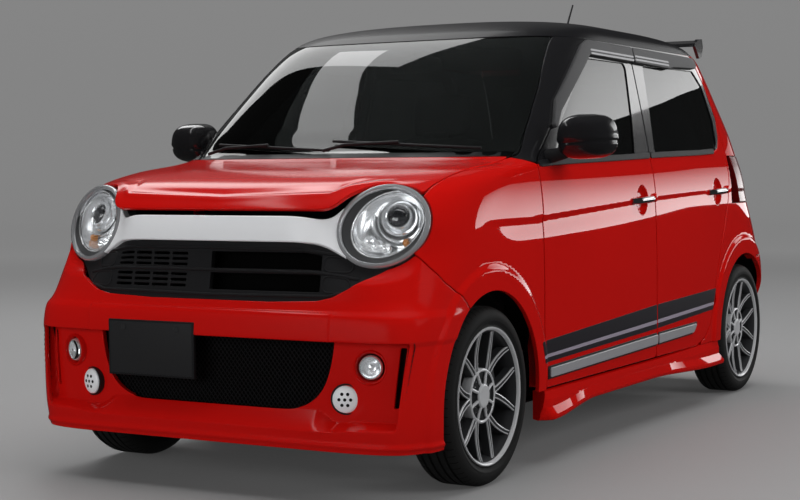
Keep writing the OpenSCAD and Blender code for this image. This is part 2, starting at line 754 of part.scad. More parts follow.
lamp_outline = soft([[600 + 2 * shut_gap, 790], [760, 790], [760, 1050], [598 + 2 * shut_gap, 1050]], 12);
module lamp_pocket(space) {
    from_front(tail_y - 300, tail_y + 100) front_outline(grow(lamp_outline, space));
}
module tail_lamps() {
    color("darkred") both_sides() intersection() {
        skin([760, 840, 910, 960, 1000, 1030, table_belt + 20],
            [2.2, 2.3, 2.4, 2.46, 2.52, 2.58, 2.66], -4, 60);
        lamp_pocket(0);
    }
}

// Side skirt in section; the reach is that of its foot past the body side
skirt_x = half_width - rebate + seat_gap;
skirt_ledge = 40;
module skirt_section(reach, bottom) {
    polygon([[skirt_x, bottom], [half_width + reach - 10, bottom], [half_width + reach, bottom + 22],
        [half_width - 6, door_bottom - 50], [half_width - 8, door_bottom - shut_gap],
        [skirt_x, door_bottom - shut_gap]]);
}
module skirt_slice(y, reach, length, bottom) {
    translate([0, y, 0]) rotate([90, 0, 0]) mirror([0, 0, 1]) linear_extrude(length)
        skirt_section(reach, bottom);
}
skirt_start = 300;
flare_length = 420;
flare_reach = 4;
skirt_tuck = 14;
module side_skirts() {
    slice = 1;
    lifted = skirt_bottom + 4;
    skirt_length = wheelbase - 2 * skirt_start;
    color("red") both_sides() difference() {
        union() {
            skirt_slice(front_y + skirt_start, -skirt_tuck, skirt_length, skirt_bottom);
            block([skirt_x - skirt_ledge, front_y + skirt_start, skirt_bottom],
                [skirt_x + 1, rear_y - skirt_start, floor_z - seat_gap]);
            // Columns: where the flare is full, where it runs out
            for (flare = [[front_y + skirt_start, front_y + skirt_start + flare_length],
                          [rear_y - skirt_start, rear_y - skirt_start - flare_length]]) hull() {
                skirt_slice(flare[0] - slice / 2, flare_reach, slice, lifted);
                skirt_slice(flare[1] - slice / 2, -skirt_tuck, slice, lifted);
            }
        }
        arch_cut(front_y, arch_radius);
        arch_cut(rear_y, arch_radius);
    }
}

module dashboard() {
    half = half_width - wall_depth - 30;
    face = step_thickness + seat_gap;
    color("black") difference() {
        from_side(-half, half) translate([firewall_y, 0]) side_outline([
            [face, 560], [150, 560], [290, 660], [390, 760], [410, 900], [370, 965],
            [230, 1000], [100, 1010], [face, 990]]);
        at_column() translate([0, 0, -400]) cylinder(d = column_diameter + 2 * seat_gap, h = far);
    }
}

// Middle of the front seats, from the middle of the car
seat_x = 350;
column_diameter = 40;
column_lean = 24;
column_place = [-car_x(seat_x), front_y + 900, car_z(940)];
wheel_grip = 30;
wheel_reach = 183;
module at_column() {
    translate(column_place) rotate([-90 + column_lean, 0, 0]) children();
}
module steering_wheel() {
    spoke = [wheel_reach - 45, 32, 16];
    color("black") at_column() {
        rotate_extrude() translate([wheel_reach - wheel_grip / 2, 0]) circle(d = wheel_grip);
        translate([0, 0, -28]) cylinder(d = 110, h = 34);
        for (a = [0, 180, 270]) rotate(a) translate([30, -spoke[1] / 2, -14]) cube(spoke);
        translate([0, 0, -270]) cylinder(d = column_diameter, h = 260);
    }
}

// Seat seen from the side: cushion, backrest and headrest, as place behind its front and height
cushion_outline = soft([[0, 300], [520, 270], [540, 520], [300, 520], [20, 545], [-20, 480]], 24);
back_outline = soft([[440, 400], [590, 400], [776, 1110], [654, 1135]], 24);
headrest_outline = soft([[668, 1132], [774, 1106], [820, 1312], [726, 1336]], 22);
module front_seats() {
    half = car_x(235);
    head_half = 128;
    place = front_y + 960;
    color("dimgray") for (side = [-1, 1]) translate([side * car_x(seat_x), 0, 0]) {
        from_side(-half, half) translate([place, 0]) {
            side_outline(cushion_outline);
            side_outline(back_outline);
        }
        from_side(-head_half, head_half) translate([place, 0]) side_outline(headrest_outline);
        block([-180, place + 40, floor_z + sheet + seat_gap], [180, place + 480, 330]);
    }
}
module rear_seat() {
    half = half_width - wall_depth - 60;
    rest = boot_floor + sheet + 2;
    color("dimgray") {
        from_side(-half, half) translate([rear_y, 0]) {
            side_outline(soft([[-860, 330], [-428, 330], [-428, 575], [-840, 600], [-880, 540]], 18));
            side_outline(soft([[-460, rest], [-330, rest], [-330, 580], [-460, 575]], 10));
            side_outline(soft([[-420, rest], [-290, rest], [-190, 1060], [-290, 1075]], 24));
        }
        block([-480, rear_y - 800, floor_z + sheet + seat_gap], [480, rear_y - 430, 360]);
    }
}

pin = 9;
kingpin = 50;
running_fit = 0.08;
upright_low = 130;
upright_high = 130;
module knuckle() {
    caliper = disc_diameter / 2 + 6;
    translate([wheel_x, front_y, axle_z]) {
        difference() {
            union() {
                translate([-kingpin, 0, -upright_low]) cylinder(r = 22, h = upright_low + upright_high);
                translate([-72, 0, 0]) rotate([0, 90, 0]) cylinder(r = 58, h = 42);
            }
            translate([-kingpin, 0, -upright_low - 1]) cylinder(r = pin + running_fit, h = 41);
            translate([-kingpin, 0, upright_high - 40]) cylinder(r = pin + running_fit, h = 41);
        }
        translate([-31, 0, 0]) rotate([0, 90, 0]) cylinder(d = stub_diameter, h = 46);
        rotate([0, 90, 0]) rotate(60) rotate_extrude(angle = 60)
            polygon([[50, -44], [caliper + 16, -44], [caliper + 16, 22], [84, 22], [84, 6],
                [caliper, 6], [caliper, -28], [50, -28]]);
    }
}
module knuckle_left() { color("gray") knuckle(); }
module knuckle_right() { color("gray") mirror([1, 0, 0]) knuckle(); }

module front_suspension() {
    x = wheel_x - kingpin;
    low = axle_z - upright_low;
    high = axle_z + upright_high;
    strut_x = 525;
    color("dimgray") both_sides() {
        block([330, front_y - 26, low - 26], [x + 20, front_y + 26, low - 6]);
        translate([x, front_y, low - 8]) cylinder(r = pin, h = 44);
        block([330, front_y - 26, low - 10], [392 - seat_gap, front_y + 26, 330 - seat_gap]);
        translate([strut_x, front_y, high + 8]) cylinder(r = 20, h = 715 - seat_gap - high - 8);
        block([strut_x - 16, front_y - 16, high + 6], [x + 16, front_y + 16, high + 24]);
        translate([x, front_y, high - 38]) cylinder(r = pin, h = 50);
    }
}

module rear_axle() {
    arm_x = 470;
    beam_half = wheel_x - 78;
    color("dimgray") {
        cross_bar([-beam_half, rear_y, axle_z], 60, 2 * beam_half);
        both_sides() {
            cross_bar([wheel_x - 80, rear_y, axle_z], 200, 44);
            cross_bar([wheel_x - 37, rear_y, axle_z], stub_diameter, 52);
            block([arm_x - 22, rear_y - 390, axle_z - 20], [arm_x + 22, rear_y, axle_z + 20]);
            block([arm_x - 30, rear_y - 400 + seat_gap, axle_z - 30],
                [arm_x + 30, rear_y - 350, boot_floor - seat_gap]);
        }
    }
}

module exhaust() {
    pipe_x = -445;
    pipe_z = 176;
    pipe_start = front_y + 260;
    silencer = [tail_y - 220, 226];
    color("gray") {
        translate([pipe_x, pipe_start, pipe_z]) rotate([-90, 0, 0])
            cylinder(r = 20, h = silencer[0] - pipe_start);
        cross_bar([pipe_x - 30, silencer[0], silencer[1]], 150, 560);
        for (y = [front_y + 500, rear_y - 600])
            block([pipe_x - 10, y - 12, pipe_z], [pipe_x + 10, y + 12, floor_z - seat_gap]);
        for (x = [-380, 20])
            block([x - 10, silencer[0] - 10, silencer[1]], [x + 10, silencer[0] + 10, boot_floor - seat_gap]);
    }
}
module fuel_tank() {
    color("dimgray") block([-420, front_y + 880, 130], [420, front_y + 1560, floor_z - seat_gap]);
}

// Wheel about its own axis, outer face up
module rim_shape() {
    lip = rim_diameter / 2;
    half = rim_width / 2;
    seat = lip - 11;
    wall = 8;
    difference() {
        union() {
            rotate_extrude() polygon([
                [lip, half], [lip, half - 8], [seat, half - 13], [seat, half - 34], [seat - 18, half - 50],
                [seat - 18, -half + 34], [seat, -half + 24], [seat, -half + 13], [lip, -half + 8],
                [lip, -half], [lip - wall, -half], [seat - wall, -half + 18], [seat - 18 - wall, -half + 36],
                [seat - 18 - wall, half - 52], [seat - wall, half - 32], [lip - wall, half]]);
            rotate_extrude() polygon([[0, -18], [72, -18], [72, 24], [76, 46], [70, 56], [46, 50],
                [42, 58], [34, 63], [0, 64]]);
            rotate_extrude() polygon([[60, -22], [disc_diameter / 2, -22], [disc_diameter / 2, 0], [60, 0]]);
            intersection() {
                rotate_extrude() polygon([[50, 22], [50, 54], [90, 54], [150, 62], [seat - 4, half - 6],
                    [seat - 4, half - 36], [150, 30], [90, 22]]);
                linear_extrude(half) for (k = [0 : spoke_count - 1]) for (side = [-1, 1])
                    rotate(k * 360 / spoke_count) polygon([
                        [58, side * 2], [58, side * 26],
                        [(lip - 4) * cos(24), side * (lip - 4) * sin(24)],
                        [(lip - 4) * cos(18), side * (lip - 4) * sin(18)]]);
            }
        }
        translate([0, 0, -far / 2]) cylinder(d = stub_diameter + 2 * running_fit, h = far / 2 + 24);
    }
}
module tyre_shape() {
    bead = rim_diameter / 2 - 11 + 0.2;
    lip = rim_diameter / 2 + 1;
    half = tyre_width / 2;
    out = tyre_diameter / 2;
    edge = rim_width / 2 - 14;
    rotate_extrude($fn = 96) polygon([
        [bead, -edge], [lip, -edge], [lip + 8, -half + 3], [lip + 28, -half], [out - 22, -half + 4],
        [out - 7, -half + 12], [out, -half + 30], [out, half - 30], [out - 7, half - 12],
        [out - 22, half - 4], [lip + 28, half], [lip + 8, half - 3], [lip, edge], [bead, edge]]);
}
module at_wheel(side, y) {
    translate([side * wheel_x, y, axle_z]) rotate([0, side * 90, 0]) children();
}
module rim_front_left() { color("dimgray") at_wheel(1, front_y) rim_shape(); }
module rim_front_right() { color("dimgray") at_wheel(-1, front_y) rim_shape(); }
module rim_rear_left() { color("dimgray") at_wheel(1, rear_y) rim_shape(); }
module rim_rear_right() { color("dimgray") at_wheel(-1, rear_y) rim_shape(); }
module tyre_front_left() { color("black") at_wheel(1, front_y) tyre_shape(); }
module tyre_front_right() { color("black") at_wheel(-1, front_y) tyre_shape(); }
module tyre_rear_left() { color("black") at_wheel(1, rear_y) tyre_shape(); }
module tyre_rear_right() { color("black") at_wheel(-1, rear_y) tyre_shape(); }

floor_pan();
body_sides();
roof_panel();
cowl();
engine_block();
wheel_housings();
hood();
front_fenders();
front_bumper();
grille();
grille_garnish();
headlamps();
fog_lamps();
lower_mesh();
windscreen();
door_front_left();
door_front_right();
door_rear_left();
door_rear_right();
glass_front_left();
glass_front_right();
glass_rear_left();
glass_rear_right();
door_seals();
mirror_left();
mirror_right();
tailgate();
tailgate_glass();
spoiler();
rear_bumper();
tail_lamps();
side_skirts();
dashboard();
steering_wheel();
front_seats();
rear_seat();
knuckle_left();
knuckle_right();
front_suspension();
rear_axle();
exhaust();
fuel_tank();
rim_front_left();
rim_front_right();
rim_rear_left();
rim_rear_right();
tyre_front_left();
tyre_front_right();
tyre_rear_left();
tyre_rear_right();
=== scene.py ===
import math

import bmesh
import bpy
import numpy as np
from mathutils import Matrix, Vector


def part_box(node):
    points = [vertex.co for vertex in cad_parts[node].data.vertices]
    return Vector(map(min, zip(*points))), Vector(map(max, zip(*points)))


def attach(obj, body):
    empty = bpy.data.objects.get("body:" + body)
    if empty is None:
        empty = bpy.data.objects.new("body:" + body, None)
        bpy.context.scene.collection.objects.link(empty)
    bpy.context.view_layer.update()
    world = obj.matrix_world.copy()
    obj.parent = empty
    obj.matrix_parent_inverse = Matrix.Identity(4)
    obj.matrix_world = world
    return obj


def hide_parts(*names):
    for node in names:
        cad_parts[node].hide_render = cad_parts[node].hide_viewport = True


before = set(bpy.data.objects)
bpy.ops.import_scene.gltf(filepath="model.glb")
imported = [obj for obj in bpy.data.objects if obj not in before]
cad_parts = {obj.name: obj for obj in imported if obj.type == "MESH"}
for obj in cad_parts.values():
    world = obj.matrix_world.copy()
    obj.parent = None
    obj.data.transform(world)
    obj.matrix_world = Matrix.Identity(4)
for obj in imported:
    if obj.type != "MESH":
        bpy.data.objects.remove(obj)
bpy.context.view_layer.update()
print("frame loaded, pieces:", len(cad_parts))

# lengths are in millimetres up to the last step, y is measured from the front axle in outlines
mm = 0.001
tyreLow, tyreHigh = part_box("tyre_front_left")
rearLow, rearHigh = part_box("tyre_rear_left")
axleY = (tyreLow.y + tyreHigh.y) / 2 / mm
rearAxle = (rearLow.y + rearHigh.y) / 2 / mm - axleY
axleZ = (tyreLow.z + tyreHigh.z) / 2 / mm
wheelX = (tyreLow.x + tyreHigh.x) / 2 / mm

body = {"length": 3395, "width": 1475, "archRadius": 335, "archFlare": 10, "flareReach": 90}
noseY = -body["length"] / 2
tailY = body["length"] / 2
halfWidth = body["width"] / 2

# height, nose and tail set back, tuck of the side, length of nose and tail curve, power of each curve
sections = np.array([
    [165, 8, 30, 15, 450, 400, 8, 8],
    [250, 0, 10, 4, 450, 400, 8, 8],
    [400, 0, 0, 0, 450, 400, 8, 8],
    [540, 5, 0, 0, 450, 420, 7.5, 8],
    [620, 25, 7, 0, 480, 450, 5.8, 7],
    [740, 45, 25, 2, 500, 480, 4.4, 5.5],
    [840, 54, 50, 6, 500, 500, 4.2, 4.6],
    [910, 88, 75, 10, 540, 500, 4, 4.4],
    [960, 175, 90, 15, 580, 500, 4, 4.4],
    [1000, 355, 105, 21, 600, 500, 4, 4.4],
    [1030, 620, 118, 27, 560, 500, 4.3, 4.4],
    [1060, 750, 133, 33, 500, 500, 4.8, 4.4],
    [1150, 860, 180, 50, 500, 500, 5.2, 4.4],
    [1280, 1015, 270, 77, 500, 500, 5.3, 4.3],
    [1400, 1165, 360, 103, 500, 500, 5.3, 4.3],
    [1480, 1285, 440, 124, 500, 500, 5.2, 4.3],
    [1530, 1390, 530, 162, 500, 550, 4.4, 3.8],
    [1563, 1530, 685, 267, 500, 550, 3.2, 3.2],
    [1580, 1740, 895, 467, 360, 360, 2.4, 2.4],
    [1585, 2060, 1235, 717, 50, 50, 2, 2],
], float)
rings = sections.copy()
rings[:, 1] = noseY + sections[:, 1]
rings[:, 2] = tailY - sections[:, 2]
rings[:, 3] = halfWidth - sections[:, 3]
ringEnds = np.vstack([2 * rings[0] - rings[1], rings, 2 * rings[-1] - rings[-2]])


def sectionAt(level):
    i = np.clip(np.floor(level).astype(int), 0, len(rings) - 2)
    t = (level - i)[..., None]
    a, b, c, d = (ringEnds[i + k] for k in range(4))
    return 0.5 * (2 * b + (c - a) * t + (2 * a - 5 * b + 4 * c - d) * t**2 + (3 * b - a - 3 * c + d) * t**3)


levelSteps = np.linspace(0, len(rings) - 1, 4000)
heightSteps = sectionAt(levelSteps)[:, 0]


def levelOf(z):
    return np.interp(z, heightSteps, levelSteps)


# radius of a rounded corner at a turn, as a share of its half axes
def curveShare(turn, power):
    return (np.abs(np.cos(turn))**power + np.abs(np.sin(turn))**power)**(-1 / power)


# station s round the car: 0 nose, 1 to 2 the left side, 3 tail, negative or over 3 the right side
def hullPoint(s, level):
    height, nose, tail, half, noseLong, tailLong, nosePower, tailPower = np.moveaxis(sectionAt(level), -1, 0)
    side = np.where((s < 0) | (s > 3), -1.0, 1.0)
    a = np.abs(s)
    a = np.where(a > 3, 6 - a, a)
    noseTurn = np.radians(90 * np.clip(a, 0, 1))
    tailTurn = np.radians(90 * (3 - np.clip(a, 2, 3)))
    along = np.clip(a - 1, 0, 1)
    kN, kT = curveShare(noseTurn, nosePower), curveShare(tailTurn, tailPower)
    x = np.where(a < 1, half * kN * np.sin(noseTurn), np.where(a > 2, half * kT * np.sin(tailTurn), half))
    y = np.where(a < 1, nose + noseLong * (1 - kN * np.cos(noseTurn)),
                 np.where(a > 2, tail - tailLong * (1 - kT * np.cos(tailTurn)),
                          (nose + noseLong) * (1 - along) + (tail - tailLong) * along))
    return np.stack([side * x, y - axleY, height], -1)


# station where the body stands at a place across (axis 0) or along (axis 1)
def stationAt(value, z, span, count, axis=0):
    grid = np.linspace(*span, count)
    return np.interp(value, hullPoint(grid, np.full(count, levelOf(z)))[:, axis], grid)


def unit(v):
    return v / np.maximum(np.linalg.norm(v, axis=-1, keepdims=True), 1e-9)


def crossNormal(point, s, level):
    ds, dl = 0.002, 0.01
    return unit(np.cross(point(s + ds, level) - point(s - ds, level), point(s, level + dl) - point(s, level - dl)))


def smooth(x, low, high):
    t = np.clip((x - low) / (high - low), 0, 1)
    return t * t * (3 - 2 * t)


def hump(x, middle, width):
    return np.exp(-((x - middle) / width)**2)


swage = {"y": [-60, 380, 896, 1427, 1875, 2260], "z": [832, 840, 863, 887, 900, 908], "rise": 2.2}
cup = {"y": [1305, 2180], "z": [881, 901], "wide": 54, "tall": 57, "deep": 17}
fog = {"place": [568, 418], "radius": 40, "disc": [487, 320], "discRadius": 41}
sunk = {"top": 491, "bottom": 222, "ramp": 60, "depth": 46, "wall": 696, "lean": 0.14}
bumper = {"deck": 6, "raised": 4, "bead": 3, "lip": 6, "lipZ": 184,
          "smile": [(0, 219), (360, 224), (418, 229), (470, 246), (522, 269), (548, 290)]}
hoodEdge = {"rise": 4.5, "dip": 3, "line": [(0, 917), (389, 929), (430, 953), (529, 971), (560, 974)]}


def ellipseDip(u, v):
    r2 = u**2 + v**2
    return np.where(r2 < 1, 1 - r2**3, 0)


# 1 on the nose, 0 behind it
def noseShare(p):
    return smooth(-p[..., 1], 150, 330)


# how far the field round the mouth and fog lamps stands back
def sinkOf(p):
    x, z = np.abs(p[..., 0]), p[..., 2]
    wall = sunk["wall"] - sunk["lean"] * (490 - z)
    ramp = sunk["ramp"] - 36 * smooth(x, 380, 460)
    low = sunk["bottom"] + 12 * smooth(x, 430, 560)
    field = np.clip((z - low) / ramp, 0, 1) * (1 - smooth(z, sunk["top"] - 3, sunk["top"] + 4))
    return sunk["depth"] * field * (1 - smooth(x, wall - 8, wall + 4)) * noseShare(p)


# ledges and lip of the front bumper
def bumperDetail(p):
    x, z = np.abs(p[..., 0]), p[..., 2]
    deck = bumper["deck"] * smooth(z, 480, 500) * (1 - smooth(z, 562, 590))
    raised = bumper["raised"] * (1 - smooth(x, 453, 459)) * smooth(z, 486, 492) * (1 - smooth(z, 574, 582))
    smile = np.interp(x, *zip(*bumper["smile"]))
    bead = bumper["bead"] * hump(z, smile, 18) * smooth(x, 340, 420) * (1 - smooth(x, 536, 556))
    under = bead + bumper["lip"] * hump(z, bumper["lipZ"], 9)
    return noseShare(p) * (deck + raised + under)


# raised and sunk forms of the panels, along the normal
def relief(p):
    x, y, z = np.abs(p[..., 0]), p[..., 1], p[..., 2]
    out = np.zeros(x.shape)
    flare = body["archRadius"] + body["flareReach"]
    for middle in (0, rearAxle):
        r = np.hypot(y - middle, z - axleZ)
        out += body["archFlare"] * (1 - smooth(r, flare - 28, flare)) * smooth(x, 480, 640) * (z > 120)
    line = np.interp(y, swage["y"], swage["z"])
    onSide = smooth(x, 640, 700) * smooth(y, -60, 240)
    step = smooth(z, line - 13, line + 6)
    wedge = 1 - smooth(y, 700, 1950)  # hollow under the line, gone towards the rear
    above = step * (1 - smooth(z, line + 5, line + 150))
    below = wedge * (1 - step) * smooth(z, line - 95, line - 6)
    out += onSide * swage["rise"] * (above - below)
    for cy, cz in zip(cup["y"], cup["z"]):
        out -= cup["deep"] * ellipseDip((y - cy) / cup["wide"], (z - cz) / cup["tall"]) * (x > 600)
    out += bumperDetail(p)
    bead = np.interp(x, *zip(*hoodEdge["line"]))
    fold = hoodEdge["rise"] * hump(z, bead, 9) - hoodEdge["dip"] * hump(z, bead + 18, 12)
    return out + fold * smooth(-y, 230, 300) * (1 - smooth(x, 520, 600))


def carPoint(s, level):
    p = hullPoint(s, level)
    return p + crossNormal(hullPoint, s, level) * relief(p)[..., None]


# steps along a line, closer together near the values in dense, each (value, width, factor)
def pathSteps(points, cell, values, dense):
    weight = 1 + sum((k * hump(values, v, w) for v, w, k in dense), np.zeros(len(values)))
    step = np.linalg.norm(np.diff(points, axis=0), axis=1) * (weight[1:] + weight[:-1]) / 2
    length = np.concatenate([[0], np.cumsum(step)])
    return np.linspace(0, length[-1], max(2, int(length[-1] / cell) + 1)), length


# distance to an outline, negative outside
def polygonDistance(points, u, v):
    pts = np.array(points, float)
    best = np.full(u.shape, 1e9)
    inside = np.zeros(u.shape, bool)
    for a, b in zip(pts, np.roll(pts, -1, 0)):
        e = b - a
        t = np.clip(((u - a[0]) * e[0] + (v - a[1]) * e[1]) / (e @ e), 0, 1)
        best = np.minimum(best, np.hypot(u - a[0] - t * e[0], v - a[1] - t * e[1]))
        if abs(e[1]) > 1e-9:
            crosses = (a[1] > v) != (b[1] > v)
            inside ^= crosses & (u < a[0] + (v - a[1]) * e[0] / e[1])
    return np.where(inside, best, -best)


def roundCorners(points, radius, steps=6):
    pts = [np.array(p, float) for p in points]
    out = []
    for i, b in enumerate(pts):
        u, v = unit(pts[i - 1] - b), unit(pts[(i + 1) % len(pts)] - b)
        half = math.acos(max(-1, min(1, float(u @ v)))) / 2
        room = 0.45 * min(np.linalg.norm(pts[i - 1] - b), np.linalg.norm(pts[(i + 1) % len(pts)] - b))
        r = min(radius, room * math.tan(half))
        reach = r / math.tan(half) if half < 1.56 else 0
        if reach < 0.5:
            out.append(b)
            continue
        middle = b + unit(u + v) * r / math.sin(half)
        first, last = b + u * reach - middle, b + v * reach - middle
        turn = math.atan2(first[0] * last[1] - first[1] * last[0], float(first @ last))
        for k in range(steps + 1):
            c, s = math.cos(turn * k / steps), math.sin(turn * k / steps)
            out.append(middle + np.array([first[0] * c - first[1] * s, first[0] * s + first[1] * c]))
    return out


# fields are positive inside: outlines seen from the front (axis 0) or the side (axis 1)
def fromFront(points, radius=0, axis=0):
    pts = roundCorners(points, radius) if radius else points
    return lambda p: polygonDistance(pts, p[..., axis], p[..., 2])


def fromSide(points, radius=0):
    return fromFront(points, radius, 1)


def paired(points):
    return list(points) + [(-x, z) for x, z in reversed(points)]


def outsideOf(field, gap=0):
    return lambda p: -field(p) - gap


def arch(middle, radius):
    return lambda p: np.hypot(p[..., 1] - middle, p[..., 2] - axleZ) - radius


# triangles cut where the field keep changes sign
def clipTriangles(s, level, tris, keep):
    d = keep(hullPoint(s, level))
    inside = d[tris] > 0
    count = inside.sum(1)
    out = [tris[count == 3]]
    newS, newL = [s], [level]
    total = len(s)
    for n in (1, 2):
        part = tris[count == n]
        mask = inside[count == n]
        if not len(part):
            continue
        odd = np.argmax(mask if n == 1 else ~mask, 1)
        rows = np.arange(len(part))
        a, b, c = part[rows, odd], part[rows, (odd + 1) % 3], part[rows, (odd + 2) % 3]
        ends = []
        for other in (b, c):
            lo, hi = (a, other) if n == 1 else (other, a)  # from the kept end to the cut end
            pair, back = np.unique(np.stack([np.minimum(lo, hi), np.maximum(lo, hi)], 1), axis=0, return_inverse=True)
            p, q = pair[:, 0], pair[:, 1]
            t0, t1, d0, d1 = np.zeros(len(p)), np.ones(len(p)), d[p], d[q]
            for _ in range(3):
                t = t0 + (t1 - t0) * d0 / (d0 - d1)
                dt = keep(hullPoint(s[p] + t * (s[q] - s[p]), level[p] + t * (level[q] - level[p])))
                low = (dt > 0) == (d0 > 0)
                t0, d0 = np.where(low, t, t0), np.where(low, dt, d0)
                t1, d1 = np.where(low, t1, t), np.where(low, d1, dt)
                d0 = np.where(d0 == d1, d0 + 1e-6, d0)
            newS.append(s[p] + t * (s[q] - s[p]))
            newL.append(level[p] + t * (level[q] - level[p]))
            ends.append(total + back.ravel())
            total += len(p)
        cb, cc = ends
        if n == 1:
            out.append(np.stack([a, cb, cc], 1))
        else:
            out.append(np.stack([b, c, cc], 1))
            out.append(np.stack([b, cc, cb], 1))
    s, level, tris = np.concatenate(newS), np.concatenate(newL), np.concatenate(out)
    # corners met twice along one cut become one
    key = np.round(np.stack([s, level], 1), 7)
    _, first, back = np.unique(key, axis=0, return_index=True, return_inverse=True)
    tris = back.ravel()[tris]
    s, level = s[first], level[first]
    good = (tris[:, 0] != tris[:, 1]) & (tris[:, 1] != tris[:, 2]) & (tris[:, 0] != tris[:, 2])
    used, tris = np.unique(tris[good], return_inverse=True)
    return s[used], level[used], tris.reshape(-1, 3)


# triangles of a grid of points, and of a closed row of points round a last one
def quadFaces(rows, cols):
    q = (np.arange(rows - 1)[:, None] * cols + np.arange(cols - 1)).ravel()
    return np.concatenate([np.stack([q, q + 1, q + cols + 1], 1), np.stack([q, q + cols + 1, q + cols], 1)])


def fanFaces(count):
    k = np.arange(count)
    return np.stack([k, (k + 1) % count, np.full(count, count)], 1)


class Shape:
    def __init__(self):
        self.points, self.normals, self.faces, self.marks, self.total = [], [], [], [], 0

    def add(self, points, normals, faces, mark=0):
        self.points.append(np.asarray(points, float))
        self.normals.append(np.asarray(normals, float))
        self.faces.append(np.asarray(faces, int) + self.total)
        self.marks.append(np.full(len(faces), mark))
        self.total += len(points)
        return self

    def mirrored(self):
        flip = np.array([-1, 1, 1])
        out = Shape()
        out.points = [p * flip for p in self.points]
        out.normals = [n * flip for n in self.normals]
        out.faces = [f[:, ::-1] for f in self.faces]
        out.marks, out.total = self.marks, self.total
        return out


# open edges of a sheet and the way out of it there
def rimOf(points, normals, tris):
    edges = np.concatenate([tris[:, [0, 1]], tris[:, [1, 2]], tris[:, [2, 0]]])
    base = len(points)
    key, back = edges[:, 0] * base + edges[:, 1], edges[:, 1] * base + edges[:, 0]
    rim = edges[~np.isin(key, back)]
    away = np.zeros_like(points)
    out = unit(np.cross(points[rim[:, 1]] - points[rim[:, 0]], normals[rim].mean(1)))
    np.add.at(away, rim[:, 0], out)
    np.add.at(away, rim[:, 1], out)
    return rim, unit(away)


# panel cut out of the body surface, with rolled edges, a flange and an inner face
# cell is the size of its triangles, runAt the station where its rows are spaced
def panel(sSpan, zSpan, fields, cell, runAt, depth, edge, offset=0.0, inner=True, point=carPoint,
          denseZ=(), denseX=(), denseY=()):
    fine = 900
    sDense = np.linspace(sSpan[0], sSpan[1], fine)
    zMid = levelOf(np.array(zSpan[0] * 0.5 + zSpan[1] * 0.5))
    line = hullPoint(sDense, np.full(fine, zMid))
    across, dense = (line[:, 1], denseY) if denseY else (np.abs(line[:, 0]), denseX)
    want, length = pathSteps(line, cell, across, dense)
    sList = np.interp(want, length, sDense)
    lDense = np.linspace(levelOf(zSpan[0]), levelOf(zSpan[1]), fine)
    line = hullPoint(np.full(fine, runAt), lDense)
    want, length = pathSteps(line, cell, line[:, 2], denseZ)
    lList = np.interp(want, length, lDense)
    s, level = (g.ravel() for g in np.meshgrid(sList, lList))
    tris = quadFaces(len(lList), len(sList))
    if fields:
        s, level, tris = clipTriangles(s, level, tris, lambda p: np.min([f(p) for f in fields], 0) - edge)
    normals = crossNormal(point, s, level)
    points = point(s, level) + normals * offset
    return thicken(points, normals, tris, depth, edge, inner)


def thicken(points, normals, tris, depth, edge, inner):
    shape = Shape().add(points, normals, tris)
    rim, away = rimOf(points, normals, tris)
    ids, local = np.unique(rim, return_inverse=True)
    local = local.reshape(-1, 2)
    p, n, t = points[ids], normals[ids], away[ids]
    turns = np.radians([0, 30, 60, 90])
    rows = [p + t * edge * math.sin(a) - n * edge * (1 - math.cos(a)) for a in turns] + [p + t * edge - n * depth]
    tilts = [unit(n * math.cos(a) + t * math.sin(a)) for a in turns] + [t]
    count = len(ids)
    faces = []
    for k in range(len(rows) - 1):
        a, b = local[:, 0] + k * count, local[:, 1] + k * count
        faces += [np.stack([b, a, a + count], 1), np.stack([b, a + count, b + count], 1)]
    shape.add(np.concatenate(rows), np.concatenate(tilts), np.concatenate(faces))
    if inner:
        back = points - normals * depth
        shape.add(back, -normals, tris[:, ::-1], 1)
        a, b = local[:, 0], local[:, 1]
        strip = [np.stack([b, a, a + count], 1), np.stack([b, a + count, b + count], 1)]
        shape.add(np.concatenate([rows[-1], back[ids]]), np.concatenate([-n, -n]), np.concatenate(strip), 1)
    return shape


def place(name, shape, bodyName, finishes, slotName=None):
    points = (np.concatenate(shape.points) + np.array([0, axleY, 0])) * mm
    normals = unit(np.concatenate(shape.normals))
    faces = np.concatenate(shape.faces)
    mesh = bpy.data.meshes.new(name)
    mesh.from_pydata(points.tolist(), [], faces.tolist())
    for mat in finishes:
        mesh.materials.append(mat)
    marks = np.minimum(np.concatenate(shape.marks), len(finishes) - 1)
    mesh.polygons.foreach_set("material_index", marks.astype(np.int32))
    mesh.polygons.foreach_set("use_smooth", np.ones(len(faces), bool))
    mesh.normals_split_custom_set_from_vertices(normals.tolist())
    mesh.update()
    obj = bpy.data.objects.new(name, mesh)
    bpy.context.scene.collection.objects.link(obj)
    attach(obj, bodyName)
    return obj


def placePair(name, shape, bodies, finishes, slotName=None):
    return [place(name + "_left", shape, bodies[0], finishes, slotName),
            place(name + "_right", shape.mirrored(), bodies[1], finishes, slotName)]


# finishes
def finish(name, color, rough=0.5, metal=0.0, **more):
    mat = bpy.data.materials.new(name)
    mat.use_nodes = True
    shader = mat.node_tree.nodes["Principled BSDF"]
    shader.inputs["Base Color"].default_value = (*color, 1)
    shader.inputs["Roughness"].default_value = rough
    shader.inputs["Metallic"].default_value = metal
    for key, value in more.items():
        shader.inputs[key.replace("_", " ")].default_value = value
    return mat


def addNoise(mat, scale, detail):
    nodes, links = mat.node_tree.nodes, mat.node_tree.links
    coord = nodes.new("ShaderNodeTexCoord")
    noise = nodes.new("ShaderNodeTexNoise")
    noise.inputs["Scale"].default_value = scale
    noise.inputs["Detail"].default_value = detail
    links.new(coord.outputs["Object"], noise.inputs["Vector"])
    return nodes, links, noise.outputs["Fac"]


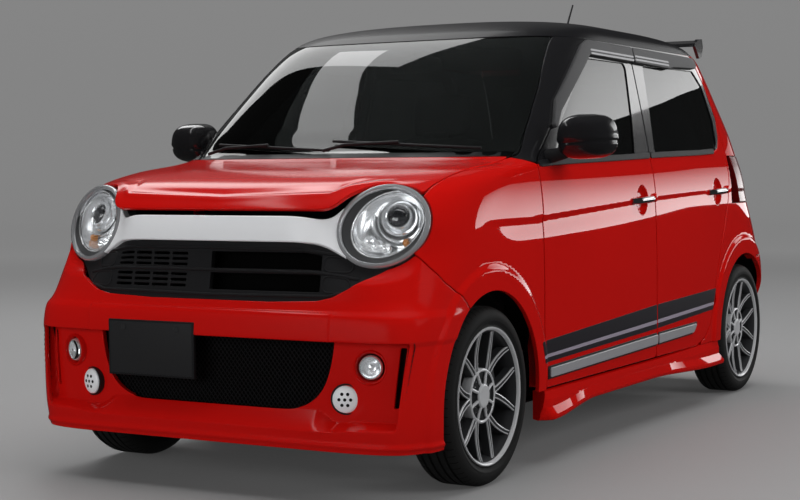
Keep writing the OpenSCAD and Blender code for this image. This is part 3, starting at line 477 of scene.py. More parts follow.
# fine bumps
def grain(mat, scale, strength):
    nodes, links, noise = addNoise(mat, scale, 3.0)
    bump = nodes.new("ShaderNodeBump")
    bump.inputs["Strength"].default_value = strength
    bump.inputs["Distance"].default_value = 0.0004
    links.new(noise, bump.inputs["Height"])
    links.new(bump.outputs["Normal"], nodes["Principled BSDF"].inputs["Normal"])
    return mat


# colour that wanders between low and high
def speckle(mat, low, high, scale):
    nodes, links, noise = addNoise(mat, scale, 2.0)
    ramp = nodes.new("ShaderNodeValToRGB")
    for stop, position, color in zip(ramp.color_ramp.elements, (0.35, 0.65), (low, high)):
        stop.position = position
        stop.color = (*color, 1)
    links.new(noise, ramp.inputs["Fac"])
    links.new(ramp.outputs["Color"], nodes["Principled BSDF"].inputs["Base Color"])
    return mat


def redCoat(name, coatRough):
    paint = finish(name, (0.5, 0.0045, 0.003), 0.35, Coat_Weight=1.0, Coat_Roughness=coatRough, Specular_IOR_Level=0.0)
    return speckle(paint, (0.48, 0.004, 0.0025), (0.52, 0.005, 0.0035), 900)


def tintedGlass(name, color, low, high, ior=1.5):
    return speckle(finish(name, color, 0.0, Transmission_Weight=1.0, IOR=ior), low, high, 3)


redPaint = redCoat("redPaint", 0.02)
softRed = redCoat("softRed", 0.14)  # hood and front bumper
blackPaint = speckle(finish("blackPaint", (0.008, 0.008, 0.009), 0.25, 0.0, Coat_Weight=1.0, Coat_Roughness=0.04),
                     (0.006, 0.006, 0.007), (0.011, 0.011, 0.012), 900)
blackPlastic = grain(finish("blackPlastic", (0.012, 0.012, 0.013), 0.5), 700, 0.25)
# painted light: silver brightened with a light base and little metal; the lamp ring, one piece with the grille bar,
# gets a darker copy
satinSilverLitCopy = grain(finish("satinSilverLitCopy", (0.92, 0.93, 0.95), 0.32, 0.2), 1500, 0.06)
brightTrim = speckle(finish("brightTrim", (0.8, 0.81, 0.83), 0.07, 1.0), (0.78, 0.79, 0.81), (0.83, 0.84, 0.86), 400)
darkInside = grain(finish("darkInside", (0.018, 0.018, 0.019), 0.6), 500, 0.3)
windowGlass = tintedGlass("windowGlass", (0.055, 0.061, 0.06), (0.05, 0.056, 0.055), (0.06, 0.066, 0.065))
darkGlass = tintedGlass("darkGlass", (0.05, 0.055, 0.055), (0.045, 0.05, 0.05), (0.055, 0.06, 0.06))
lensGlass = tintedGlass("lensGlass", (0.95, 0.96, 0.97), (0.94, 0.95, 0.96), (0.97, 0.98, 0.99), 1.45)
redLens = speckle(finish("redLens", (0.16, 0.004, 0.005), 0.2, 0.0, Transmission_Weight=0.2, Coat_Weight=0.3),
                  (0.14, 0.0035, 0.0045), (0.18, 0.0045, 0.0055), 60)
rubberBlack = grain(finish("rubberBlack", (0.013, 0.013, 0.013), 0.62), 500, 0.35)
chassisBlack = grain(finish("chassisBlack", (0.02, 0.02, 0.021), 0.55), 300, 0.3)
castMetal = grain(finish("castMetal", (0.16, 0.16, 0.165), 0.45, 0.7), 350, 0.35)
seatCloth = grain(finish("seatCloth", (0.025, 0.025, 0.027), 0.85, 0.0, Sheen_Weight=0.3), 1400, 0.5)
rimDark = grain(finish("rimDark", (0.035, 0.036, 0.038), 0.3, 0.3), 1200, 0.05)
# painted highlight: bright silver on the lip, hub rims and spoke edges, where rounded edges catch the light
rimEdgeHighlight = grain(finish("rimEdgeHighlight", (0.8, 0.81, 0.83), 0.22, 0.5), 1200, 0.05)
stripeBlack = grain(finish("stripeBlack", (0.012, 0.01, 0.014), 0.4), 900, 0.05)
stripePale = speckle(finish("stripePale", (0.34, 0.3, 0.37), 0.4, 0.2), (0.32, 0.28, 0.35), (0.36, 0.32, 0.39), 500)
amberLens = speckle(finish("amberLens", (0.4, 0.15, 0.03), 0.15), (0.37, 0.13, 0.03), (0.43, 0.17, 0.04), 200)
platePaint = grain(finish("platePaint", (0.02, 0.02, 0.021), 0.35), 900, 0.1)
mouldGrey = grain(finish("mouldGrey", (0.36, 0.36, 0.38), 0.3, 0.3), 1500, 0.05)
# painted shade: darker, more metallic copy of the grille bar's silver for the lamp ring, which is one piece with the
# bar
ringChromeShadedCopy = grain(finish("ringChromeShadedCopy", (0.62, 0.63, 0.65), 0.24, 0.7), 1500, 0.04)
roofBlack = speckle(finish("roofBlack", (0.007, 0.007, 0.008), 0.4, Coat_Weight=0.12, Coat_Roughness=0.08,
                           Specular_IOR_Level=0.3), (0.006, 0.006, 0.007), (0.009, 0.009, 0.01), 900)
# painted shade: near-black sheets behind the grille, mouth and duct slots, and the fog domes' holes, standing in for
# the dark there
paintedShadeBlack = grain(finish("paintedShadeBlack", (0.0015, 0.0015, 0.0015), 0.9), 300, 0.2)
print("finishes ready")

# shut lines and outlines seen from the side, as place behind the front axle and height
shut = {"gap": 5, "doorFront": 400, "sill": 264, "roofLine": 1484, "doorTop": 1462}
beltLine = [(400, 1018), (457, 1022), (711, 1030), (1134, 1041), (1558, 1054), (2034, 1065), (2200, 1072)]
belt = lambda y: np.interp(y, *zip(*beltLine))
doorWaist = [(400, 1020), (457, 1022), (711, 1030), (1134, 1041), (1442, 1051)]
frontDoorLow = [(400, shut["sill"]), (1442, shut["sill"])] + doorWaist[::-1]
frontDoorHigh = doorWaist + [(1440, shut["doorTop"]), (1000, shut["doorTop"])]
rearEdge = [(1911, 264), (2010, 290), (2069, 336), (2129, 438), (2142, 523), (2223, 691), (2320, 861), (2349, 970),
            (2352, 1058)]
rearShoulder = [(2345, 1100), (2318, 1215), (2260, 1350), (2190, 1440), (2150, shut["doorTop"])]
rearDoorAll = [(1448, shut["sill"])] + rearEdge + rearShoulder + [(1448, shut["doorTop"])]
rearFrame = [(1448, 1051), (2034, 1065), (2208, 1073), (2268, 1086), (2300, 1130), (2316, 1215), (2258, 1350),
             (2188, 1440), (2148, shut["doorTop"]), (1448, shut["doorTop"])]
frontWindow = [(556, 1042), (654, 1166), (985, 1408), (1372, 1408), (1327, 1188), (1290, 1052)]
rearWindow = [(1503, 1060), (1530, 1213), (1556, 1410), (2140, 1414), (2222, 1350), (2268, 1210), (2266, 1110),
              (2225, 1080)]
bumperSplit = [(-390, 770), (-368, 752), (-338, 710), (-293, 663), (-228, 626), (-150, 560)]
bumperSide = [(-700, 100), (-150, 100)] + bumperSplit[::-1] + [(-700, 770)]


# open outline with its corners cut twice
def soften(points):
    for _ in range(2):
        cut = [points[0]]
        for a, b in zip(points, points[1:]):
            cut += [(w * a[0] + (1 - w) * b[0], w * a[1] + (1 - w) * b[1]) for w in (0.75, 0.25)]
        points = cut + [points[-1]]
    return points


screenEdge = paired([(668, 1036), (640, 1180), (616, 1290), (556, 1490)])
gateEdge = paired([(575, 615), (600, 760), (590, 1060), (505, 1480)])
gateGlass = paired([(512, 1068), (442, 1420)])
grilleEdge = paired([(225, 606), (400, 613), (450, 625), (499, 651), (552, 688), (602, 722), (655, 757), (650, 800),
                     (600, 864)])
mouthEdge = paired(soften([(235, 279), (311, 281), (366, 304), (407, 345), (429, 400), (440, 450), (444, 488)]))
ductEdge = [(660, 478), (676, 478), (653, 298), (640, 298)]
lamp = {"place": np.array([553.2, -361.5, 834.1]), "ring": 139, "band": 16, "yaw": 17, "lean": 20.2,
        "long": 149.3, "short": 129.3, "tilt": 27.4}
cosYaw, sinYaw = math.cos(math.radians(lamp["yaw"])), math.sin(math.radians(lamp["yaw"]))
cosLean, sinLean = math.cos(math.radians(lamp["lean"])), math.sin(math.radians(lamp["lean"]))
lampAxis = np.array([sinYaw * cosLean, -cosYaw * cosLean, sinLean])
lampRight = np.array([cosYaw, sinYaw, 0])
lampUp = np.cross(lampAxis, lampRight)


# radius of a tilted ellipse, as a share of a mean radius
def ovalRatio(long, short, tilt, mean):
    t0 = math.radians(tilt)
    return lambda a: long * short / np.hypot(short * np.cos(a - t0), long * np.sin(a - t0)) / mean


ringOval = ovalRatio(lamp["long"], lamp["short"], lamp["tilt"], lamp["ring"])


def lampCircle(radius):
    def field(p):
        q = np.stack([np.abs(p[..., 0]), p[..., 1], p[..., 2]], -1) - lamp["place"]
        a, b = q @ lampRight, q @ lampUp
        return np.hypot(a, b) / ringOval(np.arctan2(b, a)) - radius
    return field


# surface eased down to the plane of the lamp ring near the lamp
def easeToLamp(p, target, reach):
    side = np.stack([np.where(p[..., 0] < 0, -1.0, 1.0), np.ones(p.shape[:-1]), np.ones(p.shape[:-1])], -1)
    height = (p * side - lamp["place"]) @ lampAxis
    share = 1 - smooth(lampCircle(lamp["ring"])(p), 0, reach)
    return p - (np.maximum(height - target, 0) * share)[..., None] * lampAxis * side


# smaller of two fields, rounded over k where they cross
def filletMin(a, b, k):
    def field(p):
        u, v = a(p), b(p)
        h = np.clip(0.5 + 0.5 * (v - u) / k, 0, 1)
        return v * (1 - h) + u * h - k * h * (1 - h)
    return field


lampRoom = lampCircle(lamp["ring"] + 4)
hoodLip = filletMin(lambda p: p[..., 2] - 885, lampCircle(lamp["ring"] + 9), 40)
bothOnBody = ("body", "body")
red, black = [redPaint, darkInside], [blackPaint, darkInside]

hoodShape = panel((-0.8, 0.8), (884, 1044), [lambda p: 648 - np.abs(p[..., 0]), hoodLip],
                  cell=10, runAt=0.0, depth=12, edge=3, denseZ=[(925, 22, 1.5)])
hoodSkin = place("hood_skin", hoodShape, "hood", [softRed, darkInside], "red_paint")
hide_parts("hood")

fenderFields = [lambda p: p[..., 0] - 652, lambda p: shut["doorFront"] - shut["gap"] - p[..., 1],
                outsideOf(fromSide(bumperSide), 3), arch(0, body["archRadius"]), lampRoom,
                lambda p: p[..., 2] - shut["sill"] + 5,
                fromSide([(-800, 100), (420, 100), (420, 1019), (396, 1020), (290, 1046), (-800, 1046)])]
fenderShape = panel((0.25, 1.3), (255, 1048), fenderFields, cell=9, runAt=0.75, depth=14, edge=2.5)
fenders = placePair("fender", fenderShape, bothOnBody, red, "red_paint")
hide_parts("front_fenders")

bumperFields = [fromSide(bumperSide), arch(0, body["archRadius"]), lampCircle(lamp["ring"] + 6),
                outsideOf(fromFront(grilleEdge, 60)), outsideOf(fromFront(mouthEdge, 14)), outsideOf(fromFront(ductEdge, 4)),
                outsideOf(fromFront([(-x, z) for x, z in ductEdge], 4)),
                lambda p: np.hypot(np.abs(p[..., 0]) - fog["place"][0], p[..., 2] - fog["place"][1]) - fog["radius"] - 4]


def bumperPoint(s, level):
    p = easeToLamp(carPoint(s, level), -4, 70)
    p[..., 1] += sinkOf(p)
    return p


bumperShape = panel((-0.86, 0.86), (166, 760), bumperFields, cell=7.5, runAt=0.0, depth=16, edge=3, point=bumperPoint,
                    denseZ=[(491, 9, 4), (225, 30, 0.8), (186, 14, 1), (578, 14, 1)], denseX=[(456, 7, 2), (688, 22, 1.5)])
bumperSkin = place("front_bumper_skin", bumperShape, "body", [softRed, darkInside], "red_paint")
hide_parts("front_bumper")

# doors: stations and heights of skin, frame and glass, station of the rows, close rows at the handle cup
rearSkin = [fromSide(rearDoorAll, 6), outsideOf(fromSide(rearFrame, 12), 1), arch(rearAxle, body["archRadius"] + 3)]
doors = {
    "front": {"skin": [(0.5, 1.9), (255, 1056), [fromSide(frontDoorLow, 6)]], "frame": [(0.4, 1.9), (1014, 1466)],
              "glass": [(0.4, 1.9), (1010, 1440)], "edge": fromSide(frontDoorHigh, 4), "window": fromSide(frontWindow, 22),
              "run": 1.4, "cupY": cup["y"][0], "cupRows": (870, 60, 2), "tint": windowGlass},
    "rear": {"skin": [(1.0, 2.55), (255, 1470), rearSkin], "frame": [(1.0, 2.55), (1040, 1466)],
             "glass": [(1.0, 2.55), (1040, 1440)], "edge": fromSide(rearFrame, 12), "window": fromSide(rearWindow, 22),
             "run": 1.6, "cupY": cup["y"][1], "cupRows": (898, 55, 2), "tint": darkGlass},
}
doorBodies = {door: ("door_%s_left" % door, "door_%s_right" % door) for door in doors}
for door, look in doors.items():
    shape = panel(*look["skin"],
                  cell=10, runAt=look["run"], depth=62, edge=2.5, denseY=[(look["cupY"], 60, 1.6)], denseZ=[look["cupRows"]])
    doorSkins = placePair(door + "_door_skin", shape, doorBodies[door], red, "red_paint")
    shape = panel(*look["frame"], [look["edge"], outsideOf(look["window"])],
                  cell=8, runAt=look["run"], depth=50, edge=2, offset=-0.6)
    placePair(door + "_door_frame", shape, doorBodies[door], black, "black_paint")
    shape = panel(*look["glass"], [look["window"]], cell=14, runAt=look["run"], depth=4, edge=0.5, offset=-5)
    panes = placePair(door + "_door_glass", shape, doorBodies[door], [look["tint"]], "glass")
    for skin, pane, side in zip(doorSkins, panes, ("left", "right")):
        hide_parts("door_%s_%s" % (door, side))
        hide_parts("glass_%s_%s" % (door, side))
print("doors ready")

gateField = outsideOf(fromFront(gateEdge, 20), shut["gap"])
behind = lambda field: lambda p: np.where(p[..., 1] > rearAxle - 150, field(p), 1e3)
inFront = lambda field: lambda p: np.where(p[..., 1] < 1200, field(p), 1e3)
tailLampEdge = [(616, 850), (760, 850), (760, 1052), (608, 1052)]
quarterFields = [outsideOf(fromSide(rearDoorAll, 6), shut["gap"]), behind(gateField), arch(rearAxle, body["archRadius"]),
                 lambda p: p[..., 1] - 1960, lambda p: shut["roofLine"] - p[..., 2],
                 lambda p: np.maximum(p[..., 2] - 604, rearAxle + 150 - p[..., 1]), lambda p: p[..., 2] - 262,
                 behind(outsideOf(fromFront(tailLampEdge, 14), 3))]
quarterShape = panel((1.6, 2.8), (255, 1490), quarterFields, cell=10, runAt=2.2, depth=40, edge=2.5)
quarters = placePair("rear_quarter", quarterShape, bothOnBody, red, "red_paint")
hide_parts("body_sides")
pillarFields = [outsideOf(fromSide(frontDoorHigh, 4), shut["gap"]), outsideOf(fromSide(frontDoorLow, 6), shut["gap"]),
                outsideOf(fromSide(rearDoorAll, 6), shut["gap"]),
                inFront(outsideOf(fromFront(screenEdge, 20), 1)), lambda p: shut["roofLine"] - p[..., 2],
                fromSide([(250, 1048), (396, 1024), (420, 1030), (1100, 1440), (2190, 1440), (2150, 1500), (250, 1500)])]
pillarShape = panel((0.3, 2.5), (1018, 1488), pillarFields, cell=9, runAt=0.8, depth=30, edge=2)
placePair("pillar_skin", pillarShape, bothOnBody, black, "black_paint")

roofTop, capCount = 1584.9, 60
roofShape = panel((-3, 3), (1486, roofTop), [], cell=16, runAt=1.5, depth=18, edge=2.5)
roofSkin = place("roof_skin", roofShape, "body", [roofBlack, darkInside], "black_paint")
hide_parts("roof_panel")
capRim = hullPoint(np.linspace(-3, 3, capCount + 1)[:-1], np.full(capCount, levelOf(roofTop)))
capShape = Shape().add(np.vstack([capRim, capRim.mean(0)]), np.tile([0, 0, 1.0], (capCount + 1, 1)), fanFaces(capCount))
place("roof_crown", capShape, "body", [roofBlack], "black_paint")
screenShape = panel((-0.75, 0.75), (1036, 1490), [fromFront(screenEdge, 30)],
                    cell=16, runAt=0.0, depth=5, edge=0.5, offset=-2)
screenSkin = place("windscreen_glass", screenShape, "body", [windowGlass], "glass")
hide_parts("windscreen")
fritFields = [fromFront(screenEdge, 30), outsideOf(fromFront(paired([(600, 1085), (560, 1300), (505, 1440)]), 60))]
fritShape = panel((-0.75, 0.75), (1036, 1490), fritFields, cell=12, runAt=0.0, depth=1.5, edge=0.5, offset=-8)
place("windscreen_border", fritShape, "body", [blackPlastic], "black_plastic")

gateShape = panel((2.3, 3.7), (600, 1484), [fromFront(gateEdge, 20), outsideOf(fromFront(gateGlass, 40))],
                  cell=12, runAt=3.0, depth=45, edge=2.5)
gateSkin = place("tailgate_skin", gateShape, "tailgate", red, "red_paint")
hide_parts("tailgate")
gateGlassShape = panel((2.3, 3.7), (1050, 1440), [fromFront(gateGlass, 40)],
                       cell=16, runAt=3.0, depth=4, edge=0.5, offset=-3)
gatePane = place("tailgate_glass_skin", gateGlassShape, "tailgate", [darkGlass], "glass")
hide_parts("tailgate_glass")
rearBumperFields = [arch(rearAxle, body["archRadius"]), lambda p: p[..., 1] - rearAxle - 153, lambda p: 600 - p[..., 2]]
rearBumperShape = panel((1.9, 4.1), (166, 602), rearBumperFields, cell=12, runAt=3.0, depth=20, edge=3)
rearBumper = place("rear_bumper_skin", rearBumperShape, "body", red, "red_paint")
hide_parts("rear_bumper")
tailLampShape = panel((2.2, 2.75), (780, 1060), [behind(fromFront(tailLampEdge, 14))],
                      cell=8, runAt=2.5, depth=30, edge=3, offset=2)
tailLamps = placePair("tail_lamp_lens", tailLampShape, bothOnBody, [redLens, darkInside], "red_lens")
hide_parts("tail_lamps")
print("body panels ready")


# turned, swept and bevelled pieces
def addFacing(shape, points, normals, faces, mark=0):
    points, normals, faces = np.asarray(points, float), np.asarray(normals, float), np.asarray(faces, int)
    a, b, c = points[faces[:, 0]], points[faces[:, 1]], points[faces[:, 2]]
    turned = np.einsum("ij,ij->i", np.cross(b - a, c - a), normals[faces].mean(1)) < 0
    faces[turned] = faces[turned][:, ::-1]
    area = np.linalg.norm(np.cross(b - a, c - a), axis=1)
    return shape.add(points, normals, faces[area > 1e-6], mark)


# turned piece: profile of (radius, height) with its outside on the right hand going up, sharp is the angle kept as an edge
def lathe(shape, profile, origin, axis, right, steps=64, sharp=40, mark=0, span=(0, 360), ripple=None):
    axis, right = unit(np.array(axis, float)), unit(np.array(right, float))
    up = np.cross(axis, right)
    prof = np.array(profile, float)
    d = np.diff(prof, axis=0)
    tilt = unit(np.stack([d[:, 1], -d[:, 0]], 1))
    angles = np.radians(np.linspace(span[0], span[1], steps + 1))
    dirs = np.cos(angles)[:, None] * right + np.sin(angles)[:, None] * up
    limit = math.cos(math.radians(sharp))
    for i in range(len(d)):
        ends = []
        for other in (i - 1, i + 1):
            n = tilt[i].copy()
            if 0 <= other < len(d) and tilt[i] @ tilt[other] > limit:
                n = n + tilt[other]
            ends.append(unit(n))
        pts, nrm = [], []
        for (r, h), n in zip(prof[i:i + 2], ends):
            wave = 1.0 if ripple is None else ripple(angles)[:, None]
            pts.append(np.array(origin) + dirs * r * wave + axis * h)
            nrm.append(dirs * n[0] + axis * n[1])
        addFacing(shape, np.concatenate(pts), np.concatenate(nrm), quadFaces(2, steps + 1), mark)
    return shape


# round bar along a path
def tube(shape, path, radius, steps=12, mark=0, caps=True):
    path = np.array(path, float)
    radii = np.full(len(path), radius, float) if np.isscalar(radius) else np.array(radius, float)
    ahead = unit(np.gradient(path, axis=0))
    side = unit(np.cross(ahead[0], [0.3, 0.2, 1.0]))
    rows, tilts = [], []
    angles = np.linspace(0, 2 * math.pi, steps + 1)
    for p, a, r in zip(path, ahead, radii):
        side = unit(side - a * (side @ a))
        up = np.cross(a, side)
        ring = np.cos(angles)[:, None] * side + np.sin(angles)[:, None] * up
        rows.append(p + ring * r)
        tilts.append(ring)
    m = steps + 1
    addFacing(shape, np.concatenate(rows), np.concatenate(tilts), quadFaces(len(path), m), mark)
    if caps:
        for row, p, a in ((rows[0], path[0], -ahead[0]), (rows[-1], path[-1], ahead[-1])):
            addFacing(shape, np.vstack([row, p]), np.tile(a, (m + 1, 1)), fanFaces(m)[:-1], mark)
    return shape


# closed piece from points and faces, its edges bevelled or the whole rounded by subdivision
def solid(name, points, faces, bodyName, finishes, bevel=0, subdiv=0, mirror=False, slotName=None):
    bevelFrom, sharpFrom = math.radians(25), math.radians(40)
    pts = (np.array(points, float) * ([-1, 1, 1] if mirror else [1, 1, 1]) + [0, axleY, 0]) * mm
    mesh = bpy.data.meshes.new(name)
    mesh.from_pydata(pts.tolist(), [], [list(f)[::-1] if mirror else list(f) for f in faces])
    for mat in finishes:
        mesh.materials.append(mat)
    bm = bmesh.new()
    bm.from_mesh(mesh)
    bmesh.ops.recalc_face_normals(bm, faces=bm.faces)
    if bevel:
        edges = [e for e in bm.edges if len(e.link_faces) == 2 and e.calc_face_angle() > bevelFrom]
        bmesh.ops.bevel(bm, geom=edges, offset=bevel * mm, segments=2, profile=0.6, affect="EDGES",
                        material=-1, clamp_overlap=True)
    bm.to_mesh(mesh)
    bm.free()
    mesh.polygons.foreach_set("use_smooth", np.ones(len(mesh.polygons), bool))
    obj = bpy.data.objects.new(name, mesh)
    bpy.context.scene.collection.objects.link(obj)
    if subdiv:
        mod = obj.modifiers.new("round", "SUBSURF")
        mod.levels = mod.render_levels = subdiv
        view = bpy.context.evaluated_depsgraph_get()
        made = bpy.data.meshes.new_from_object(obj.evaluated_get(view))
        obj.modifiers.clear()
        obj.data = made
        obj.data.polygons.foreach_set("use_smooth", np.ones(len(made.polygons), bool))
    else:
        mesh.set_sharp_from_angle(angle=sharpFrom)
    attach(obj, bodyName)
    return obj


# outline seen from the front or from above, drawn out between two depths or heights
def prism(outline, plane, low, high):
    n = len(outline)
    put = {"front": lambda a, b, w: (a, w, b), "top": lambda a, b, w: (a, b, w)}[plane]
    points = [put(a, b, w) for w in (low, high) for a, b in outline]
    faces = [list(range(n))[::-1], list(range(n, 2 * n))] + [[i, (i + 1) % n, n + (i + 1) % n, n + i] for i in range(n)]
    return points, faces


def brick(low, high):
    outline = [(low[0], low[1]), (high[0], low[1]), (high[0], high[1]), (low[0], high[1])]
    return prism(outline, "top", low[2], high[2])


# headlamps: band, dark throat, reflector, projector and clear cover
lampLook = {"lens": (120.7, 94.9, 38.5), "lensMean": 107, "shift": (12.4, 8.9, -15), "rise": 20,
            "projector": 32, "projectorShift": (27, 30), "amberShift": (52, -48),
            "bowls": [(52, -48, (120, 310)), (36, -38, (95, 335)), (20, -24, (0, 360))],  # past the projector, height, span
            "spots": [(215, 74, 15), (238, 68, 17), (262, 66, 14)]}  # turn, reach and size of the small lamps
lampRing, lampGlass = Shape(), Shape()
centre = lamp["place"]
inLamp = lambda a, b: lampRight * a + lampUp * b
lensAt = centre + inLamp(*lampLook["shift"][:2]) + lampAxis * lampLook["shift"][2]
ballAt = lensAt + inLamp(*lampLook["projectorShift"])
amberAt = lensAt + inLamp(*lampLook["amberShift"])
lensOval = ovalRatio(*lampLook["lens"], lampLook["lensMean"])
outer, inner, lensR = lamp["ring"], lamp["ring"] - lamp["band"], lampLook["lensMean"]


def turnLamp(profile, at, steps, sharp, mark, shape=lampRing, **more):
    lathe(shape, profile, at, lampAxis, lampRight, steps, sharp, mark, **more)


bandProfile = [(outer - 4, -60), (outer - 1, -8), (outer, 1), (outer - 2, 6), (outer - 6, 10), (outer - 12, 11),
               (inner + 2, 8), (inner, 5), (inner - 3, -16)]
turnLamp(bandProfile, centre, 120, 50, 0, ripple=ringOval)
# throat from the band down to the edge of the lens
angles = np.linspace(0, 2 * math.pi, 121)
flat = np.cos(angles)[:, None] * lampRight + np.sin(angles)[:, None] * lampUp
ringRow = centre + flat * ((inner - 2) * ringOval(angles))[:, None]
lensRow = lensAt + flat * ((lensR + 3) * lensOval(angles))[:, None] + lampAxis * 4
slope = unit(np.cross(np.gradient(ringRow, axis=0), lensRow - ringRow))
slope[np.einsum("ij,j->i", slope, lampAxis) < 0] *= -1
addFacing(lampRing, np.concatenate([ringRow, lensRow]), np.concatenate([slope, slope]), quadFaces(2, len(angles)), 1)
lensRim = [(lensR + 4, -4), (lensR + 4, 5), (lensR + 1, 8), (lensR - 2, 5), (lensR - 3, -6)]
turnLamp(lensRim, lensAt, 120, 50, 2, ripple=lensOval)
reflector = [(lensR - 2, 2), (lensR - 6, -14), (lensR - 16, -34), (lensR - 34, -52), (lensR - 58, -62), (0, -64)]
turnLamp(reflector, lensAt, 144, 60, 2, ripple=lensOval)
ball = lampLook["projector"]
for past, height, span in lampLook["bowls"]:  # stepped bowls round the projector
    r = ball + past
    steps = [(r + 4, height - 12), (r + 4, height), (r, height + 5), (r - 4, height), (r - 13, height - 12)]
    turnLamp(steps, ballAt, 72, 60, 2, span=span)
turnLamp([(ball + 9, -40), (ball + 9, -10), (ball + 6, -5), (ball + 2, -8), (ball, -16)], ballAt, 72, 50, 2)
dome = [(ball * math.cos(a), -16 + 18 * math.sin(a)) for a in np.linspace(0, math.pi / 2, 9)]
turnLamp(dome, ballAt, 48, 80, 3)
for turn, reach, size in lampLook["spots"]:  # small lamps below the projector
    a = math.radians(turn)
    spot = lensAt + inLamp(math.cos(a), math.sin(a)) * reach
    turnLamp([(size + 3, -40), (size + 3, -26), (size, -22), (size - 4, -28), (0, -34)], spot, 28, 50, 2)
turnLamp([(11, -40), (10, -24), (6, -20), (0, -19)], amberAt, 24, 60, 4)
rise = lampLook["rise"]
coverOut = [((lensR - 2) * math.cos(a), 4 + rise * math.sin(a)) for a in np.linspace(0, math.pi / 2, 14)]
coverIn = [(0.97 * (lensR - 2) * math.cos(a), 2 + (rise - 2) * math.sin(a)) for a in np.linspace(math.pi / 2, 0, 14)]
turnLamp(coverOut + coverIn + [coverOut[0]], lensAt, 120, 60, 0, lampGlass, ripple=lensOval)
throatGrey = grain(finish("throatGrey", (0.045, 0.046, 0.048), 0.4), 800, 0.1)
projectorGlass = speckle(finish("projectorGlass", (0.012, 0.013, 0.015), 0.03, Coat_Weight=1.0),
                         (0.01, 0.01, 0.012), (0.015, 0.016, 0.018), 80)
lampChrome = speckle(finish("lampChrome", (0.9, 0.91, 0.92), 0.12, 0.75), (0.86, 0.87, 0.88), (0.92, 0.93, 0.94), 120)
lampMats = [ringChromeShadedCopy, throatGrey, lampChrome, projectorGlass, amberLens]
lampParts = placePair("headlamp_body", lampRing, bothOnBody, lampMats, "bright_trim")
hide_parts("headlamps")
for cover in placePair("headlamp_cover", lampGlass, bothOnBody, [lensGlass], "clear_lens"):
    cover.visible_shadow = False

# bar between the lamps, its ends run into the lamp rings by fillets
bar = {"top": 864, "bottom": 786, "fillet": 75, "proud": 9, "depth": 24}
barField = lambda p: np.minimum(bar["top"] - p[..., 2], p[..., 2] - bar["bottom"])
joined = filletMin(lambda p: -barField(p), lampCircle(lamp["ring"] - 4), bar["fillet"])
barFields = [lambda p: -joined(p), lampCircle(lamp["ring"] - 10), lambda p: 560 - np.abs(p[..., 0])]
barPoint = lambda s, level: easeToLamp(hullPoint(s, level), -2, 150)
barShape = panel((-0.62, 0.62), (690, 985), barFields,
                 cell=6, runAt=0.0, depth=bar["depth"], edge=5, offset=bar["proud"], point=barPoint)
barObj = place("grille_bar", barShape, "body", [satinSilverLitCopy, darkInside], "bright_trim")
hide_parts("grille_garnish")

# black grille: backing sheet in painted shade, face with an open and a slotted half, ribs and pockets
grilleLook = {"sunk": 12, "rows": [(704, 754), (638, 690)], "open": (-8, 397), "blocks": (-385, -95), "columns": 4, "slots": 3,
              "ribs": [[(-520, 690), (-440, 698), (0, 698), (440, 698), (520, 690)],
                       [(-470, 640), (-430, 628), (0, 622), (430, 628), (470, 640)],
                       [(-480, 752), (-440, 762), (0, 766), (440, 762), (480, 752)]]}
# sheet of painted shade behind the grille
shadeBackingFields = [fromFront(paired([(225, 600), (520, 640), (655, 700), (655, 900), (300, 900)])), lampCircle(lamp["ring"] - 2)]
shadeBacking = panel((-0.72, 0.72), (596, 905), shadeBackingFields,
                cell=14, runAt=0.0, depth=3, edge=1, offset=-70, inner=False, point=hullPoint)
place("grille_shade_backing", shadeBacking, "body", [paintedShadeBlack], "black_plastic")
openings = []
(openFrom, openTo), (blockFrom, blockTo) = grilleLook["open"], grilleLook["blocks"]
for low, high in grilleLook["rows"]:
    openings.append([(openFrom, low), (openTo, low + 2), (openTo, high + 2), (openFrom, high)])
    wide = (blockTo - blockFrom) / grilleLook["columns"]
    tall = (high - low) / grilleLook["slots"]
    for i in range(grilleLook["columns"]):
        for j in range(grilleLook["slots"]):
            x0, z0 = blockFrom + i * wide, low + j * tall
            x1, z1 = x0 + wide - 6, z0 + tall - 4
            openings.append([(x0 + 5, z0 + 5), (x1, z0 + 5), (x1, z1), (x0 + 5, z1)])
grilleFields = [fromFront(grilleEdge, 60), lampCircle(lamp["ring"] - 6), lambda p: 884 - p[..., 2]]
grilleFields += [outsideOf(fromFront(o, 3)) for o in openings]
grillePoint = lambda s, level: easeToLamp(hullPoint(s, level), 4, 120)
grilleShape = panel((-0.72, 0.72), (604, 886), grilleFields,
                    cell=4.8, runAt=0.0, depth=18, edge=2, offset=-grilleLook["sunk"], inner=False, point=grillePoint)
grilleObj = place("grille_face", grilleShape, "body", [blackPlastic], "black_plastic")
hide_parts("grille")


# line on the grille through points seen from the front
def onNose(xs, zs, out):
    s = np.array([stationAt(x, z, (-0.75, 0.75), 500) for x, z in zip(xs, zs)])
    level = levelOf(np.array(zs, float))
    return grillePoint(s, level) + crossNormal(grillePoint, s, level) * (out - grilleLook["sunk"])


ridge = Shape()
for line in grilleLook["ribs"]:  # long ribs over and under the two rows
    xs = np.linspace(line[0][0], line[-1][0], 70)
    tube(ridge, onNose(xs, np.interp(xs, *zip(*line)), -1), 5.5, 10)
for side in (-1, 1):  # rounded pockets outside the rows
    for low, high in grilleLook["rows"]:
        loop = roundCorners([(side * 405, low), (side * 500, low + 6), (side * 490, high), (side * 405, high)], 20)
        loop = np.array(loop + loop[:1])
        tube(ridge, onNose(loop[:, 0], loop[:, 1], -1), 3.5, 8)
place("grille_ribs", ridge, "body", [blackPlastic], "black_plastic")

